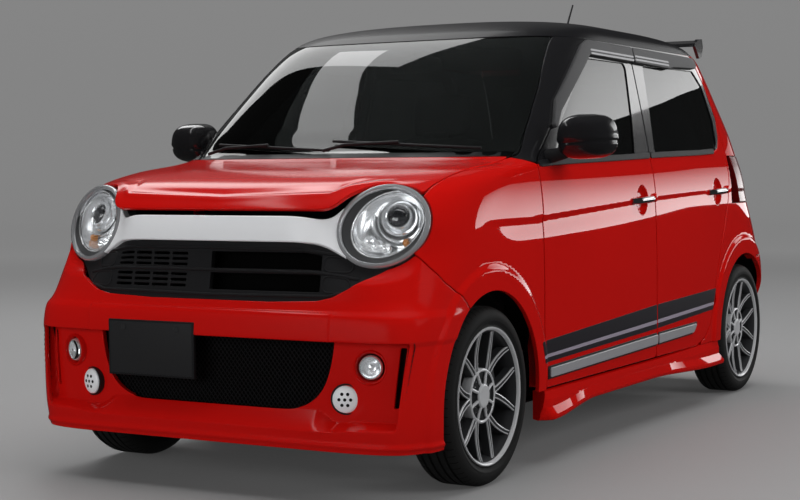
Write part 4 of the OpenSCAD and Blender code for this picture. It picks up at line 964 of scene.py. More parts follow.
# lower mesh in the mouth of the bumper
meshLook = {"cell": 15.5, "tall": 9.5, "strand": 1.5, "back": 66, "low": 276, "high": 496}
meshLines = Shape()
halfCell = meshLook["cell"] / 2
cellCount = int(470 / meshLook["cell"]) + 1
mouthRound = np.array(roundCorners(mouthEdge, 14))
rows = np.arange(int((meshLook["high"] - meshLook["low"]) / meshLook["tall"]) + 1)
gridX, gridZ = np.meshgrid(np.arange(-cellCount, cellCount + 1) * meshLook["cell"], meshLook["low"] + rows * meshLook["tall"])
gridX = gridX + (rows % 2)[:, None] * halfCell
near = polygonDistance(mouthRound, gridX.ravel(), gridZ.ravel()) > -12
for x, z in zip(gridX.ravel()[near], gridZ.ravel()[near]):
    y = noseY - axleY + meshLook["back"] + 0.00006 * x * x
    for dx in (halfCell, -halfCell):  # two strands of a diamond
        tube(meshLines, [(x, y, z), (x + dx, y + 1.5, z + meshLook["tall"])], meshLook["strand"], 4, caps=False)
meshObj = place("mouth_mesh", meshLines, "body", [blackPlastic], "black_plastic")
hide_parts("lower_mesh")
# sheets of painted shade behind the mouth mesh and the duct slots
mouthShadeBack = prism([(-470, 262), (470, 262), (480, 505), (-480, 505)], "front", noseY - axleY + 84, noseY - axleY + 90)
solid("mouth_shade_back", *mouthShadeBack, "body", [paintedShadeBlack])
ductShadeBack = brick((624, -432, 285), (700, -414, 488))
for side, flip in (("right", True), ("left", False)):
    solid("duct_shade_back_" + side, *ductShadeBack, "body", [paintedShadeBlack], mirror=flip)

# fog lamps and perforated domes
fogShape, fogLens = Shape(), Shape()
forward, acrossX = np.array([0.28, -0.96, 0]), np.array([0.96, 0.28, 0])


def noseAt(x, z):
    s = stationAt(x, z, (0, 0.8), 300)
    return float(bumperPoint(np.array([s]), np.array([levelOf(z)]))[0, 1])


def turnFog(profile, at, steps, sharp, mark, shape=fogShape):
    lathe(shape, profile, at, forward, acrossX, steps, sharp, mark)


fx, fz = fog["place"]
fogAt = np.array([fx, noseAt(fx, fz), fz])
fr = fog["radius"]
turnFog([(fr + 14, -14), (fr + 13, 4), (fr + 9, 7), (fr + 5, 4), (fr, -12), (fr - 2, -22)], fogAt, 64, 60, 0)
turnFog([(fr - 2, -22), (fr - 5, -24), (fr - 5, -2)], fogAt, 64, 30, 1)
turnFog([(fr - 3, -8), (fr - 4, 0), (fr - 7, 3), (fr - 10, 0), (fr - 14, -14), (12, -24), (0, -25)], fogAt, 64, 50, 2)
turnFog([(11, -24), (11, -12), (8, -8), (0, -7)], fogAt, 28, 50, 2)
fogGlass = [((fr - 9) * math.cos(a), 1 + 7 * math.sin(a)) for a in np.linspace(0, math.pi / 2, 8)]
turnFog(fogGlass + [(0, 6), (fr - 11, -1), fogGlass[0]], fogAt, 48, 60, 0, fogLens)
dx, dz = fog["disc"]
discAt = np.array([dx, noseAt(dx, dz) - 4, dz])
dr = fog["discRadius"]
turnFog([(dr + 7, -30), (dr + 6, 0), (dr + 3, 2), (dr + 1, -6)], discAt, 56, 40, 1)
discDome = [(dr * math.cos(a), 1 + 11 * math.sin(a)) for a in np.linspace(0.1, math.pi / 2, 8)]
turnFog([(dr, -10), (dr, 1)] + discDome, discAt, 56, 50, 3)
for row, count in ((-1, 2), (0, 3), (1, 2)):  # holes of the dome, small caps in painted shade
    for k in range(count):
        u, v = (k - (count - 1) / 2) * 18, row * 16.5
        bulge = 1 + 11 * math.sqrt(max(0, 1 - (u * u + v * v) / dr**2))
        hole = discAt + acrossX * u + np.array([0, 0, v])
        turnFog([(5.0, bulge - 3), (5.0, bulge + 0.5), (0, bulge + 0.6)], hole, 14, 30, 4)
fogMats = [redPaint, blackPlastic, lampChrome, satinSilverLitCopy, paintedShadeBlack]
fogObjs = placePair("fog_lamp", fogShape, bothOnBody, fogMats, "bright_trim")
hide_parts("fog_lamps")
for cover in placePair("fog_lens", fogLens, bothOnBody, [lensGlass], "clear_lens"):
    cover.visible_shadow = False

# blank number plate on the car's right
plate = {"x": (-372, -34), "z": (356, 534), "frame": 7}
plateY = noseY - axleY - 6
(plateX0, plateX1), (plateZ0, plateZ1) = plate["x"], plate["z"]


def plateBox(inset, low, high):
    x0, x1, z0, z1 = plateX0 + inset, plateX1 - inset, plateZ0 + inset, plateZ1 - inset
    return prism([(x0, z0), (x1, z0), (x1, z1), (x0, z1)], "front", plateY + low, plateY + high)


solid("plate_frame", *plateBox(0, -3, 10), "body", [blackPlastic], 2.5)
solid("plate_face", *plateBox(plate["frame"], -4, 2), "body", [platePaint], 1)
plateBolts = Shape()
for x in (plateX0 + 64, plateX1 - 64):
    spot = (x, plateY - 4, plateZ1 - 24)
    lathe(plateBolts, [(9, 0), (9, 3), (6, 5), (0, 5.5)], spot, (0, -1, 0), (1, 0, 0), 20, 30, 0)
for x in (plateX0 + 90, plateX1 - 90):
    solid("plate_arm_%d" % (x > -200), *brick((x - 14, plateY + 8, 420), (x + 14, plateY + 90, 470)), "body", [blackPlastic], 2)
place("plate_bolts", plateBolts, "body", [brightTrim], "bright_trim")
print("front ready")


# strip between two lines, facing toward
def ribbon(shape, lineA, lineB, toward, mark=0):
    a, b = np.array(lineA, float), np.array(lineB, float)
    along = np.gradient((a + b) / 2, axis=0)
    n = unit(np.cross(along, b - a))
    flip = np.einsum("ij,ij->i", n, np.broadcast_to(np.array(toward, float), n.shape)) < 0
    n[flip] *= -1
    return addFacing(shape, np.concatenate([a, b]), np.concatenate([n, n]), quadFaces(2, len(a)), mark)


# wheels: barrel and lip, hub, six V spokes whose edges are painted bright as highlights, disc, tyre
wheel = {"lip": 221, "half": 78, "spokes": 6, "spread": 18.5, "root": 4.5, "wide": (18, 14), "thick": 30, "edge": 3.6,
         "hub": 88, "cap": 37, "disc": 130, "lugs": 4, "lugCircle": 57, "turn": 60}
outward, rightOf, upOf = np.eye(3)


def spokeTop(r):
    return np.interp(r, [50, 80, 140, 190, 212], [50, 50, 54, 62, 68])


def onCircle(degrees):
    a = math.radians(degrees)
    return rightOf * math.cos(a) + upOf * math.sin(a)


def rimShape(origin):
    shape = Shape()
    spin = lambda profile, mark, sharp=40, steps=96: lathe(shape, profile, origin, outward, rightOf, steps, sharp, mark)
    lip, half = wheel["lip"], wheel["half"]
    spin([(lip, half - 14), (lip, half - 4), (lip - 2, half), (lip - 6, half), (lip - 9, half - 3),
          (lip - 12, half - 10)], 1, 50)
    spin([(lip - 12, half - 10), (lip - 18, half - 18), (lip - 24, half - 40), (lip - 27, 0), (lip - 27, -half + 20),
          (lip - 8, -half)], 0, 50)
    spin([(lip - 8, -half), (lip, -half), (lip, -half + 14), (lip - 20, -half + 40), (lip - 20, half - 50),
          (lip, half - 14)], 0, 30)
    hub, cap = wheel["hub"], wheel["cap"]
    spin([(hub, 16), (hub, 48), (hub - 2, 52), (hub - 6, 53), (hub - 10, 50)], 1, 50)
    spin([(hub - 10, 50), (hub - 14, 42), (cap + 10, 40), (cap + 5, 44), (cap + 2, 52)], 0, 40)
    spin([(cap + 2, 52), (cap, 56), (cap - 4, 58), (cap - 10, 57), (0, 58)], 1, 50)
    for k in range(8):  # ribs of the hub
        ring = onCircle(22.5 + 45 * k)
        line = [np.array(origin) + ring * r + outward * h for r, h in ((cap, 50), (hub - 26, 47), (hub - 8, 47))]
        tube(shape, line, 5.5, 8, 1)
    for k in range(wheel["lugs"]):
        spot = np.array(origin) + onCircle(45 + 90 * k) * wheel["lugCircle"]
        lathe(shape, [(11, 36), (11, 46), (8, 50), (0, 50.5)], spot, outward, rightOf, 6, 20, 2)
    disc, e, turn = wheel["disc"], wheel["edge"], 360 / wheel["spokes"]
    spin([(60, -22), (disc, -22), (disc, -12), (disc - 2, -11), (78, -11), (72, 2), (50, 6)], 3, 30)
    for k in range(wheel["spokes"]):
        for side in (-1, 1):
            r = np.linspace(hub - 8, lip - 13, 12)
            t = (r - r[0]) / (r[-1] - r[0])
            angle = np.radians(wheel["turn"] + k * turn + side * (wheel["root"] + (wheel["spread"] - wheel["root"]) * t))
            mid = np.array(origin) + (np.cos(angle)[:, None] * rightOf + np.sin(angle)[:, None] * upOf) * r[:, None]
            ahead = unit(np.gradient(mid, axis=0))
            across = np.cross(ahead, outward)
            wide = (wheel["wide"][0] + (wheel["wide"][1] - wheel["wide"][0]) * t)[:, None] / 2
            top = mid + outward * spokeTop(r)[:, None]
            low = mid + outward * (spokeTop(r) - wheel["thick"])[:, None]
            # strips along the spoke edges carry the painted highlight
            for sgn in (-1, 1):
                face = top - outward * 1.6 + across * sgn * (wide - e)
                crest = top + across * sgn * (wide - e + 1.0)
                brow = top - outward * 0.6 + across * sgn * wide
                wall = top - outward * 5 + across * sgn * (wide + 0.8)
                base = low + across * sgn * (wide + 4)
                ribbon(shape, face, crest, outward - across[0] * sgn * 0.5, 1)
                ribbon(shape, crest, brow, outward, 1)
                ribbon(shape, brow, wall, across[0] * sgn, 1)
                ribbon(shape, wall, base, across[0] * sgn, 0)
            ribbon(shape, top - outward * 1.6 + across * (wide - e), top - outward * 1.6 - across * (wide - e), outward, 0)
            ribbon(shape, low + across * (wide + 4), low - across * (wide + 4), -outward, 0)
    return shape


def tyreShape(origin):
    shape = Shape()
    outer = tyreHigh.z / mm - axleZ
    side = [(208, 64), (216, 70), (222, 75), (227, 74), (231, 76), (246, 80), (262, 78), (272, 73), (279, 66), (283, 57),
            (outer - 0.6, 52)]
    tread = []
    for groove in (42, 15, -15, -42):
        tread += [(outer, groove + 4.5), (outer - 6, groove + 3.5), (outer - 6, groove - 3.5), (outer, groove - 4.5)]
    profile = [(r, -h) for r, h in side] + tread[::-1] + side[::-1]
    lathe(shape, profile, origin, outward, rightOf, 128, 32, 0)
    lathe(shape, [(232, 76.0), (238, 79.4), (240, 80.2), (243, 80.3)], origin, outward, rightOf, 96, 60, 0)
    cuts = 64
    for k in range(cuts):  # cross cuts in the shoulders, flat strips in painted shade
        ring = onCircle(360 * k / cuts)
        tang = onCircle(360 * k / cuts + 90)
        for sgn in (-1, 1):
            line = [np.array(origin) + ring * (rr + 0.25) + outward * sgn * hh + tang * (hh - 50) * 0.2
                    for rr, hh in ((outer, 47), (outer - 0.4, 52), (283, 57), (279, 66), (274, 71))]
            ribbon(shape, np.array(line) - tang * 1.5, np.array(line) + tang * 1.5, ring, 1)
    return shape


# painted shade: rubber darkened for the shoulder cuts
grooveShade = grain(finish("grooveShade", (0.004, 0.004, 0.004), 0.9), 300, 0.2)
discSteel = grain(finish("discSteel", (0.45, 0.45, 0.46), 0.35, 0.9), 600, 0.2)
for end, y in (("front", 0.0), ("rear", rearAxle)):
    rim, tyre = rimShape((wheelX, y, axleZ)), tyreShape((wheelX, y, axleZ))
    bodies = ("wheel_%s_left" % end, "wheel_%s_right" % end)
    rims = placePair("wheel_rim_" + end, rim, bodies, [rimDark, rimEdgeHighlight, brightTrim, discSteel], "rim_alloy")
    tyres = placePair("wheel_tyre_" + end, tyre, bodies, [rubberBlack, grooveShade], "tyre_rubber")
    for rimObj, tyreObj, side in zip(rims, tyres, ("left", "right")):
        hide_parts("rim_%s_%s" % (end, side))
        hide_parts("tyre_%s_%s" % (end, side))
print("wheels ready")


# rounded box
def blob(shape, middle, half, power, around, over, warp=None):
    def at(uu, vv):
        c = lambda w: np.sign(w) * np.abs(w)**(2 / power)
        flat = c(np.cos(vv))
        p = np.stack([flat * c(np.cos(uu)), flat * c(np.sin(uu)), c(np.sin(vv))], -1) * np.array(half)
        return (warp(p) if warp else p) + np.array(middle)
    uu, vv = np.meshgrid(np.linspace(0, 2 * math.pi, around + 1), np.linspace(-math.pi / 2, math.pi / 2, over + 1))
    points = at(uu, vv)
    du = at(uu + 0.01, vv) - at(uu - 0.01, vv)
    dv = at(uu, np.clip(vv + 0.01, -1.56, 1.56)) - at(uu, np.clip(vv - 0.01, -1.56, 1.56))
    n = np.cross(du, dv)
    ends = np.linalg.norm(n, axis=-1, keepdims=True) < 1e-9
    n = np.where(ends, points - np.array(middle), n)
    return addFacing(shape, points.reshape(-1, 3), unit(n.reshape(-1, 3)), quadFaces(over + 1, around + 1))


# door mirrors: two-part shell, glass and foot
mirror = {"middle": (824, 582, 1112), "half": (94, 120, 76), "power": 3.0, "seam": -20, "groove": 5, "sweep": 0.14,
          "glass": [(762, 1066), (888, 1070), (882, 1166), (768, 1164)], "glassMiddle": (828, 1115)}


def mirrorWarp(p):
    q = p.copy()
    q[..., 0] = p[..., 0] * (1 - 0.10 * p[..., 2] / mirror["half"][2])  # narrower at the top
    q[..., 1] = np.where(p[..., 1] > 0, p[..., 1] * 0.28, p[..., 1]) + mirror["sweep"] * p[..., 0]
    groove = 1 - 0.05 * hump(p[..., 2], mirror["seam"], mirror["groove"])
    lower = np.where(p[..., 2] < mirror["seam"], 0.965, 1.0)
    q[..., :2] *= (groove * lower)[..., None]
    q[..., 2] += 0.06 * p[..., 0] * (p[..., 2] < 0)
    return q


mirrorShape = Shape()
blob(mirrorShape, mirror["middle"], mirror["half"], mirror["power"], 64, 56, mirrorWarp)
gx, gz = np.array(roundCorners(mirror["glass"], 30) + [mirror["glassMiddle"]]).T
gPoints = np.stack([gx, mirror["middle"][1] + 28 + mirror["sweep"] * (gx - mirror["glassMiddle"][0]), gz], 1)
addFacing(mirrorShape, gPoints, np.tile([0, 1.0, 0], (len(gx), 1)), fanFaces(len(gx) - 1), 1)
tube(mirrorShape, [(694, 500, 1044), (722, 508, 1048), (750, 518, 1056), (780, 530, 1072)], [26, 24, 22, 24], 20, 2)
mirrorObjs = placePair("door_mirror", mirrorShape, doorBodies["front"], [blackPaint, brightTrim, blackPlastic], "black_paint")
for obj, sideName in zip(mirrorObjs, ("left", "right")):
    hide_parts("mirror_" + sideName)

# door handles across their cups
handle = {"length": 214, "grip": 13, "stand": 22, "tilt": 0.03}
for door, cy, cz in zip(("front", "rear"), cup["y"], cup["z"]):
    u, reach = np.linspace(-1, 1, 25), handle["length"] / 2
    base = float(hullPoint(np.array([stationAt(cy, cz, (1, 2.4), 300, 1)]), np.array([levelOf(cz)]))[0, 0])
    bow = handle["stand"] * (1 - np.abs(u)**4 * 0.75)
    path = np.stack([base - 6 + bow, cy + u * reach, cz + u * reach * handle["tilt"]], 1)
    grip = tube(Shape(), path, handle["grip"] * (1 - 0.25 * np.abs(u)**6), 18)
    placePair(door + "_handle", grip, doorBodies[door], [brightTrim], "bright_trim")
    spot = (base, cy + reach + 16, cz + 7)
    key = lathe(Shape(), [(17, -8), (17, 8), (14, 13), (0, 15)], spot, outward, rightOf, 32, 50, 0)
    placePair(door + "_handle_end", key, doorBodies[door], [redPaint], "red_paint")

# stripes, grey side moulding on a black base and black belt strip, each cut at the door seam
stripe = {"top": [(405, 425), (870, 445), (1419, 469), (2142, 488)], "bottom": [(405, 350), (870, 362), (1421, 375), (2095, 400)],
          "bands": [(0.0, 0.64, stripeBlack), (0.64, 0.79, stripePale), (0.79, 1.0, stripeBlack)]}
moulding = {"top": [(430, 330), (1379, 352), (1893, 359)], "bottom": [(430, 297), (1391, 315), (1850, 324)]}
# ends of stripe, moulding, its base and belt strip along the car, slants of their rear ends
trim = {"front": {"turns": (0.62, 1.9), "stripe": (406, 1441, 0), "moulding": (432, 1438, 0), "base": (418, 1438, 0),
                  "belt": (407, 1440)},
        "rear": {"turns": (1.1, 2.4), "stripe": (1450, 2140, 38), "moulding": (1452, 1893, 42), "base": (1452, 1901, 46),
                 "belt": (1451, 2205)}}


# part of the band between two lines, from share f0 to f1 of its height
def bandBetween(look, f0, f1, y0, y1, rearSlant, frontSlant=0):
    top, bottom = look["top"], look["bottom"]
    ys = np.linspace(y0, y1, 8)
    at = lambda f, y: np.interp(y, *zip(*top)) * (1 - f) + np.interp(y, *zip(*bottom)) * f
    edge = lambda f: [(y - (rearSlant * f if y == ys[-1] else 0) + (frontSlant * f if y == ys[0] else 0), at(f, y)) for y in ys]
    return edge(f1) + edge(f0)[::-1]


for door, ends in trim.items():
    sSpan = ends["turns"]
    for number, (f0, f1, mat) in enumerate(stripe["bands"]):
        band = bandBetween(stripe, f0, f1, *ends["stripe"])
        shape = panel(sSpan, (330, 500), [fromSide(band)], cell=9, runAt=1.5, depth=0.8, edge=0.3, offset=0.9, inner=False)
        placePair("%s_stripe_%d" % (door, number), shape, doorBodies[door], [mat], "black_paint")
        if door == "front":  # short end on the fender
            fields = [fromSide(bandBetween(stripe, f0, f1, 356, 393, 0, 26)), arch(0, body["archRadius"] + 12)]
            shape = panel((0.55, 1.3), (330, 500), fields, cell=6, runAt=1.0, depth=0.8, edge=0.3, offset=0.9, inner=False)
            placePair("fender_stripe_%d" % number, shape, bothOnBody, [mat], "black_paint")
    base = bandBetween(moulding, -0.18, 1.18, *ends["base"])
    shape = panel(sSpan, (270, 400), [fromSide(base, 5)], cell=8, runAt=1.5, depth=5, edge=2, offset=4)
    placePair(door + "_moulding_base", shape, doorBodies[door], [blackPlastic], "black_plastic")
    band = bandBetween(moulding, 0.0, 1.0, *ends["moulding"])
    shape = panel(sSpan, (270, 400), [fromSide(band, 4)], cell=8, runAt=1.5, depth=6, edge=3, offset=9)
    placePair(door + "_moulding", shape, doorBodies[door], [mouldGrey, blackPlastic], "bright_trim")
    ys = np.linspace(*ends["belt"], 10)
    beltBand = [(y, belt(y) - 10) for y in ys] + [(y, belt(y) + 13) for y in ys[::-1]]
    shape = panel(sSpan, (990, 1100), [fromSide(beltBand, 3)], cell=8, runAt=1.5, depth=8, edge=2.5, offset=4)
    placePair(door + "_belt_strip", shape, doorBodies[door], [blackPlastic], "black_plastic")

# skirts under the doors, flared at both ends
skirt = {"span": (400, 2176), "top": 256, "low": 182, "frontTo": 840, "rearFrom": 1400, "flare": 26}


def skirtSection(y):
    front = 1 - smooth(y, 430, skirt["frontTo"])
    rear = smooth(y, skirt["rearFrom"], 2060)
    low = skirt["low"] - 30 * front - 20 * rear
    out = 15 * front + 20 * rear - 42 * (1 - smooth(y, 396, 452))**2  # front end rolls in
    top = skirt["top"] + 8 * rear
    scoop = 10 * front + 12 * rear
    x = halfWidth
    return [(x - 48, top - 2), (x - 14, top), (x - 5, top - 4), (x - 3, top - 14), (x - 1 + 0.15 * out, top - 34),
            (x + 1 + 0.3 * out - scoop * 0.4, low + 44), (x + 4 + out, low + 20), (x + 5 + out, low + 12),
            (x + 2 + out, low + 3), (x - 4 + out, low), (x - 48, low + 4)]


skirtShape = Shape()
rows = np.array([[(x, y, z) for x, z in skirtSection(y)] for y in np.linspace(*skirt["span"], 90)])
rows[:, :, 0] = np.minimum(rows[:, :, 0], halfWidth + skirt["flare"])
width = rows.shape[1]
for k in range(width - 1):
    a, b = rows[:, k], rows[:, k + 1]
    normal = unit(np.cross(np.gradient(a, axis=0), b - a))
    facing = upOf if k == 0 else -upOf if k == width - 2 else outward
    normal[normal @ facing < 0] *= -1
    ribbon(skirtShape, a, b, normal.mean(0))
for row, ahead in ((rows[0], -1), (rows[-1], 1)):
    addFacing(skirtShape, np.vstack([row, row.mean(0)]), np.tile([0, ahead, 0], (width + 1, 1)), fanFaces(width))
skirtObjs = placePair("side_skirt", skirtShape, bothOnBody, [redPaint], "red_paint")
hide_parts("side_skirts")

# smoked visors over the side windows, with grey strips: outline, stations, ends of the strips
visor = {"proud": 15, "strips": (1421, 1434),
         "front": ([(574, 1150), (590, 1140), (650, 1200), (1010, 1420), (1441, 1414), (1441, 1472), (1012, 1474),
                    (955, 1452), (640, 1240)], (0.45, 1.9), (1015, 1437)),
         "rear": ([(1449, 1414), (1824, 1408), (1880, 1416), (2150, 1424), (2176, 1444), (2140, 1468), (1449, 1472)],
                  (1.1, 2.5), (1453, 1822))}
stripGrey = grain(finish("stripGrey", (0.32, 0.32, 0.33), 0.35), 900, 0.05)
visorGrey = speckle(finish("visorGrey", (0.06, 0.06, 0.062), 0.5), (0.055, 0.055, 0.057), (0.066, 0.066, 0.068), 200)
for door in ("front", "rear"):
    outline, sSpan, (y0, y1) = visor[door]
    shape = panel(sSpan, (1120, 1478), [fromSide(outline, 10)],
                  cell=8, runAt=1.4, depth=visor["proud"] - 1, edge=3, offset=visor["proud"])
    placePair(door + "_visor", shape, doorBodies[door], [visorGrey, darkInside], "black_plastic")
    for number, low in enumerate(visor["strips"]):
        strip = [(y0, low), (y1, low - 4), (y1, low + 4), (y0, low + 8)]
        shape = panel(sSpan, (1400, 1460), [fromSide(strip)],
                      cell=6, runAt=1.4, depth=2, edge=0.8, offset=visor["proud"] + 1.2, inner=False)
        placePair("%s_visor_strip_%d" % (door, number), shape, doorBodies[door], [stripGrey], "bright_trim")
print("side trim ready")

# antenna, wipers, rear-view mirror
aerial = Shape()
tube(aerial, [(0, 2190, 1560), (0, 2206, 1578), (0, 2216, 1590)], [20, 14, 7], 20)
tube(aerial, [(0, 2212, 1584), (0, 2268, 1680), (0, 2312, 1746)], [5.0, 4.5, 3.8], 10)
place("aerial", aerial, "body", [blackPlastic], "black_plastic")
wipers = Shape()
for x0, x1, z0, z1 in ((560, -20, 1066, 1098), (-10, -520, 1064, 1092)):
    xs, zs = np.linspace(x0, x1, 24), np.linspace(z0, z1, 24)
    sAt = np.array([stationAt(x, z, (-0.7, 0.7), 400) for x, z in zip(xs, zs)])
    path = hullPoint(sAt, levelOf(zs)) + crossNormal(hullPoint, sAt, levelOf(zs)) * 9
    tube(wipers, path, 5, 8)
    tube(wipers, [path[12] + [0, -6, 8], path[20] + [0, -40, -10], path[23] + [0, -70, -34]], 6, 8)
place("wipers", wipers, "body", [blackPlastic], "black_plastic")
cabinMirror = Shape()
blob(cabinMirror, (-20, 842, 1398), (128, 16, 32), 3.5, 40, 24)
tube(cabinMirror, [(-20, 842, 1410), (-20, 850, 1450), (-20, 868, 1492)], 8, 12)
place("cabin_mirror", cabinMirror, "body", [blackPlastic], "black_plastic")


# soft seats: crowned cushions by subdivision
def cushion(low, high, lean):
    n, pinch = 4, 0.08
    pts, faces, index = [], [], {}
    def corner(i, j, k):
        if (i, j, k) not in index:
            u, v, w = i / n * 2 - 1, j / n * 2 - 1, k / n * 2 - 1
            p = np.array([low[a] + (high[a] - low[a]) * (q + 1) / 2 for a, q in enumerate((u, v, w))])
            middle = (np.array(low) + np.array(high)) / 2
            swell = 1 + pinch * (1 - np.array([max(v * v, w * w), max(u * u, w * w), max(u * u, v * v)]))
            p = middle + (p - middle) * swell
            p[1] += lean * (p[2] - low[2])
            index[(i, j, k)] = len(pts)
            pts.append(p)
        return index[(i, j, k)]
    for a in range(n):
        for b in range(n):
            for f in (0, n):
                square = [(a, b), (a + 1, b), (a + 1, b + 1), (a, b + 1)]
                faces.append([corner(f, i, j) for i, j in square])
                faces.append([corner(i, f, j) for i, j in square])
                faces.append([corner(i, j, f) for i, j in square])
    return pts, faces


def seatGroup(name, parts, bodyName):
    points, faces = [], []
    for p, f in parts:
        faces += [[i + len(points) for i in face] for face in f]
        points += [list(q) for q in p]
    obj = solid(name, points, faces, bodyName, [seatCloth], subdiv=2, slotName="seat_cloth")
    return obj


# half width, run along the car, heights and lean of each cushion
seat = {"x": 350, "front": 960, "parts": [(225, -10, 520, 310, 530, 0.0), (225, 470, 590, 420, 1120, 0.26),
                                          (170, 455, 480, 560, 1040, 0.26), (120, 690, 782, 1150, 1325, 0.12),
                                          (60, 668, 720, 1090, 1170, 0.2)]}
for sideName, sx in (("left", 1), ("right", -1)):
    cx, y0 = sx * seat["x"], seat["front"]
    parts = [cushion((cx - half, y0 + near, low), (cx + half, y0 + far, high), lean)
             for half, near, far, low, high, lean in seat["parts"]]
    seatGroup("front_seat_" + sideName, parts, "body")
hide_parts("front_seats")
bench = [cushion((-540, rearAxle - 860, 345), (540, rearAxle - 440, 590), 0.0)]
bench += [cushion((x0, rearAxle - 420, 480), (x1, rearAxle - 300, 1060), 0.17) for x0, x1 in ((-540, -8), (8, 540))]
benchObj = seatGroup("rear_bench", bench, "body")
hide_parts("rear_seat")
print("cabin ready")

# plain rear fittings: blank plate, grip bar, reflectors, wiper
rear = {"plate": (165, 705, 870), "grip": (270, 900, 928), "reflector": (455, 575, 300, 322), "pivotZ": 1062,
        "wiper": [(0, 1066), (-90, 1082), (-330, 1112)], "blade": [(-120, 1080), (-250, 1096), (-400, 1112)]}


def tailAt(x, z):
    turn = np.linspace(2.4, 3.6, 200)
    p = hullPoint(turn, np.full(200, levelOf(z)))
    order = np.argsort(p[:, 0])
    return float(np.interp(x, p[order, 0], p[order, 1]))


def tailPad(name, x0, x1, z0, z1, proud, bodyName, mats, slotName):
    near = [tailAt(x, z) for x in (x0, x1) for z in (z0, z1)]
    outline = [(x0, z0), (x1, z0), (x1, z1), (x0, z1)]
    points = [(x, tailAt(x, z) - 4, z) for x, z in outline]
    points += [(x, max(min(near), tailAt(x, z)) + proud, z) for x, z in outline]
    faces = [[0, 1, 2, 3], [7, 6, 5, 4]] + [[k, (k + 1) % 4, 4 + (k + 1) % 4, 4 + k] for k in range(4)]
    return solid(name, points, faces, bodyName, mats, bevel=2, slotName=slotName)


half, low, high = rear["plate"]
tailPad("rear_plate", -half, half, low, high, 7, "tailgate", [platePaint], "black_paint")
half, low, high = rear["grip"]
tailPad("tailgate_grip", -half, half, low, high, 12, "tailgate", [blackPlastic], "black_plastic")
for sideName, sgn in (("left", 1), ("right", -1)):
    x0, x1, low, high = rear["reflector"]
    x0, x1 = sorted((sgn * x0, sgn * x1))
    tailPad("rear_reflector_" + sideName, x0, x1, low, high, 11, "body", [redLens], "red_lens")
wiperShape = Shape()
overGlass = lambda line, out: [(x, tailAt(x, z) + out, z) for x, z in line]
pivot = [(0, tailAt(0, rear["pivotZ"]) + out, rear["pivotZ"]) for out in (-4, 15)]
tube(wiperShape, pivot, [15, 13], 24)
tube(wiperShape, overGlass(rear["wiper"], 17), [9, 7, 4], 12)
tube(wiperShape, overGlass(rear["blade"], 9), [4.5, 5, 4.5], 10)
place("rear_wiper", wiperShape, "tailgate", [blackPlastic], "black_plastic")
print("rear fittings ready")

# CAD pieces that stay in view
cadFinishes = {
    "floor_pan": chassisBlack, "cowl": blackPlastic, "engine_block": castMetal, "wheel_housings": blackPlastic,
    "door_seals": rubberBlack, "dashboard": darkInside, "steering_wheel": darkInside,
    "front_suspension": chassisBlack, "rear_axle": chassisBlack, "exhaust": castMetal, "fuel_tank": blackPlastic,
    "knuckle_left": castMetal, "knuckle_right": castMetal,
    "spoiler": blackPaint,
}
for name, mat in cadFinishes.items():
    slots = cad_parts[name].data.materials
    for i in range(len(slots)):
        slots[i] = mat
    if not slots:
        slots.append(mat)

# camera of the photo, worked out from the wheels and the body
camera = {"azimuth": 29.7244, "elevation": 2.77, "roll": -0.4115, "place": (3.0532, -5.8162, 1.0014), "lens": 74.156}
az, el, roll = (math.radians(camera[k]) for k in ("azimuth", "elevation", "roll"))
back = Vector((math.sin(az) * math.cos(el), -math.cos(az) * math.cos(el), math.sin(el)))
right = Vector((math.cos(az), math.sin(az), 0))
up = back.cross(right)
r2 = right * math.cos(roll) + up * math.sin(roll)
u2 = up * math.cos(roll) - right * math.sin(roll)
camData = bpy.data.cameras.new("photoCamera")
camData.lens = camera["lens"]
camData.sensor_width = 36
camObj = bpy.data.objects.new("photoCamera", camData)
bpy.context.scene.collection.objects.link(camObj)
camObj.matrix_world = Matrix((
    (r2.x, u2.x, back.x, camera["place"][0]), (r2.y, u2.y, back.y, camera["place"][1]),
    (r2.z, u2.z, back.z, camera["place"][2]), (0, 0, 0, 1)))
bpy.context.scene.camera = camObj

# grey studio bowl, glowing more away from the car, and soft lights
studio = {"flat": 26.0, "bend": 6.0, "height": 16.0, "world": 0.02, "screenTurn": -18.4,
          "glow": {"From Min": 2.5, "From Max": 14.0, "To Min": 0.03, "To Max": 0.19}}
bowlRings = [(0.01, 0.0), (studio["flat"], 0.0)]
bowlRings += [(studio["flat"] + studio["bend"] * math.sin(a), studio["bend"] * (1 - math.cos(a)))
              for a in np.linspace(0.1, math.pi / 2, 14)]
bowlRings += [(studio["flat"] + studio["bend"], studio["height"])]
turnCount = 96
bowlTurns = [2 * math.pi * k / turnCount for k in range(turnCount)]
bowlPoints = [(r * math.cos(a), r * math.sin(a), z) for r, z in bowlRings for a in bowlTurns]
bowlFaces = [(i + k, i + (k + 1) % turnCount, i + turnCount + (k + 1) % turnCount, i + turnCount + k)
             for i in range(0, (len(bowlRings) - 1) * turnCount, turnCount) for k in range(turnCount)]
bowlMesh = bpy.data.meshes.new("studioBowl")
bowlMesh.from_pydata(bowlPoints, [], bowlFaces)
bowlMesh.polygons.foreach_set("use_smooth", np.ones(len(bowlFaces), bool))
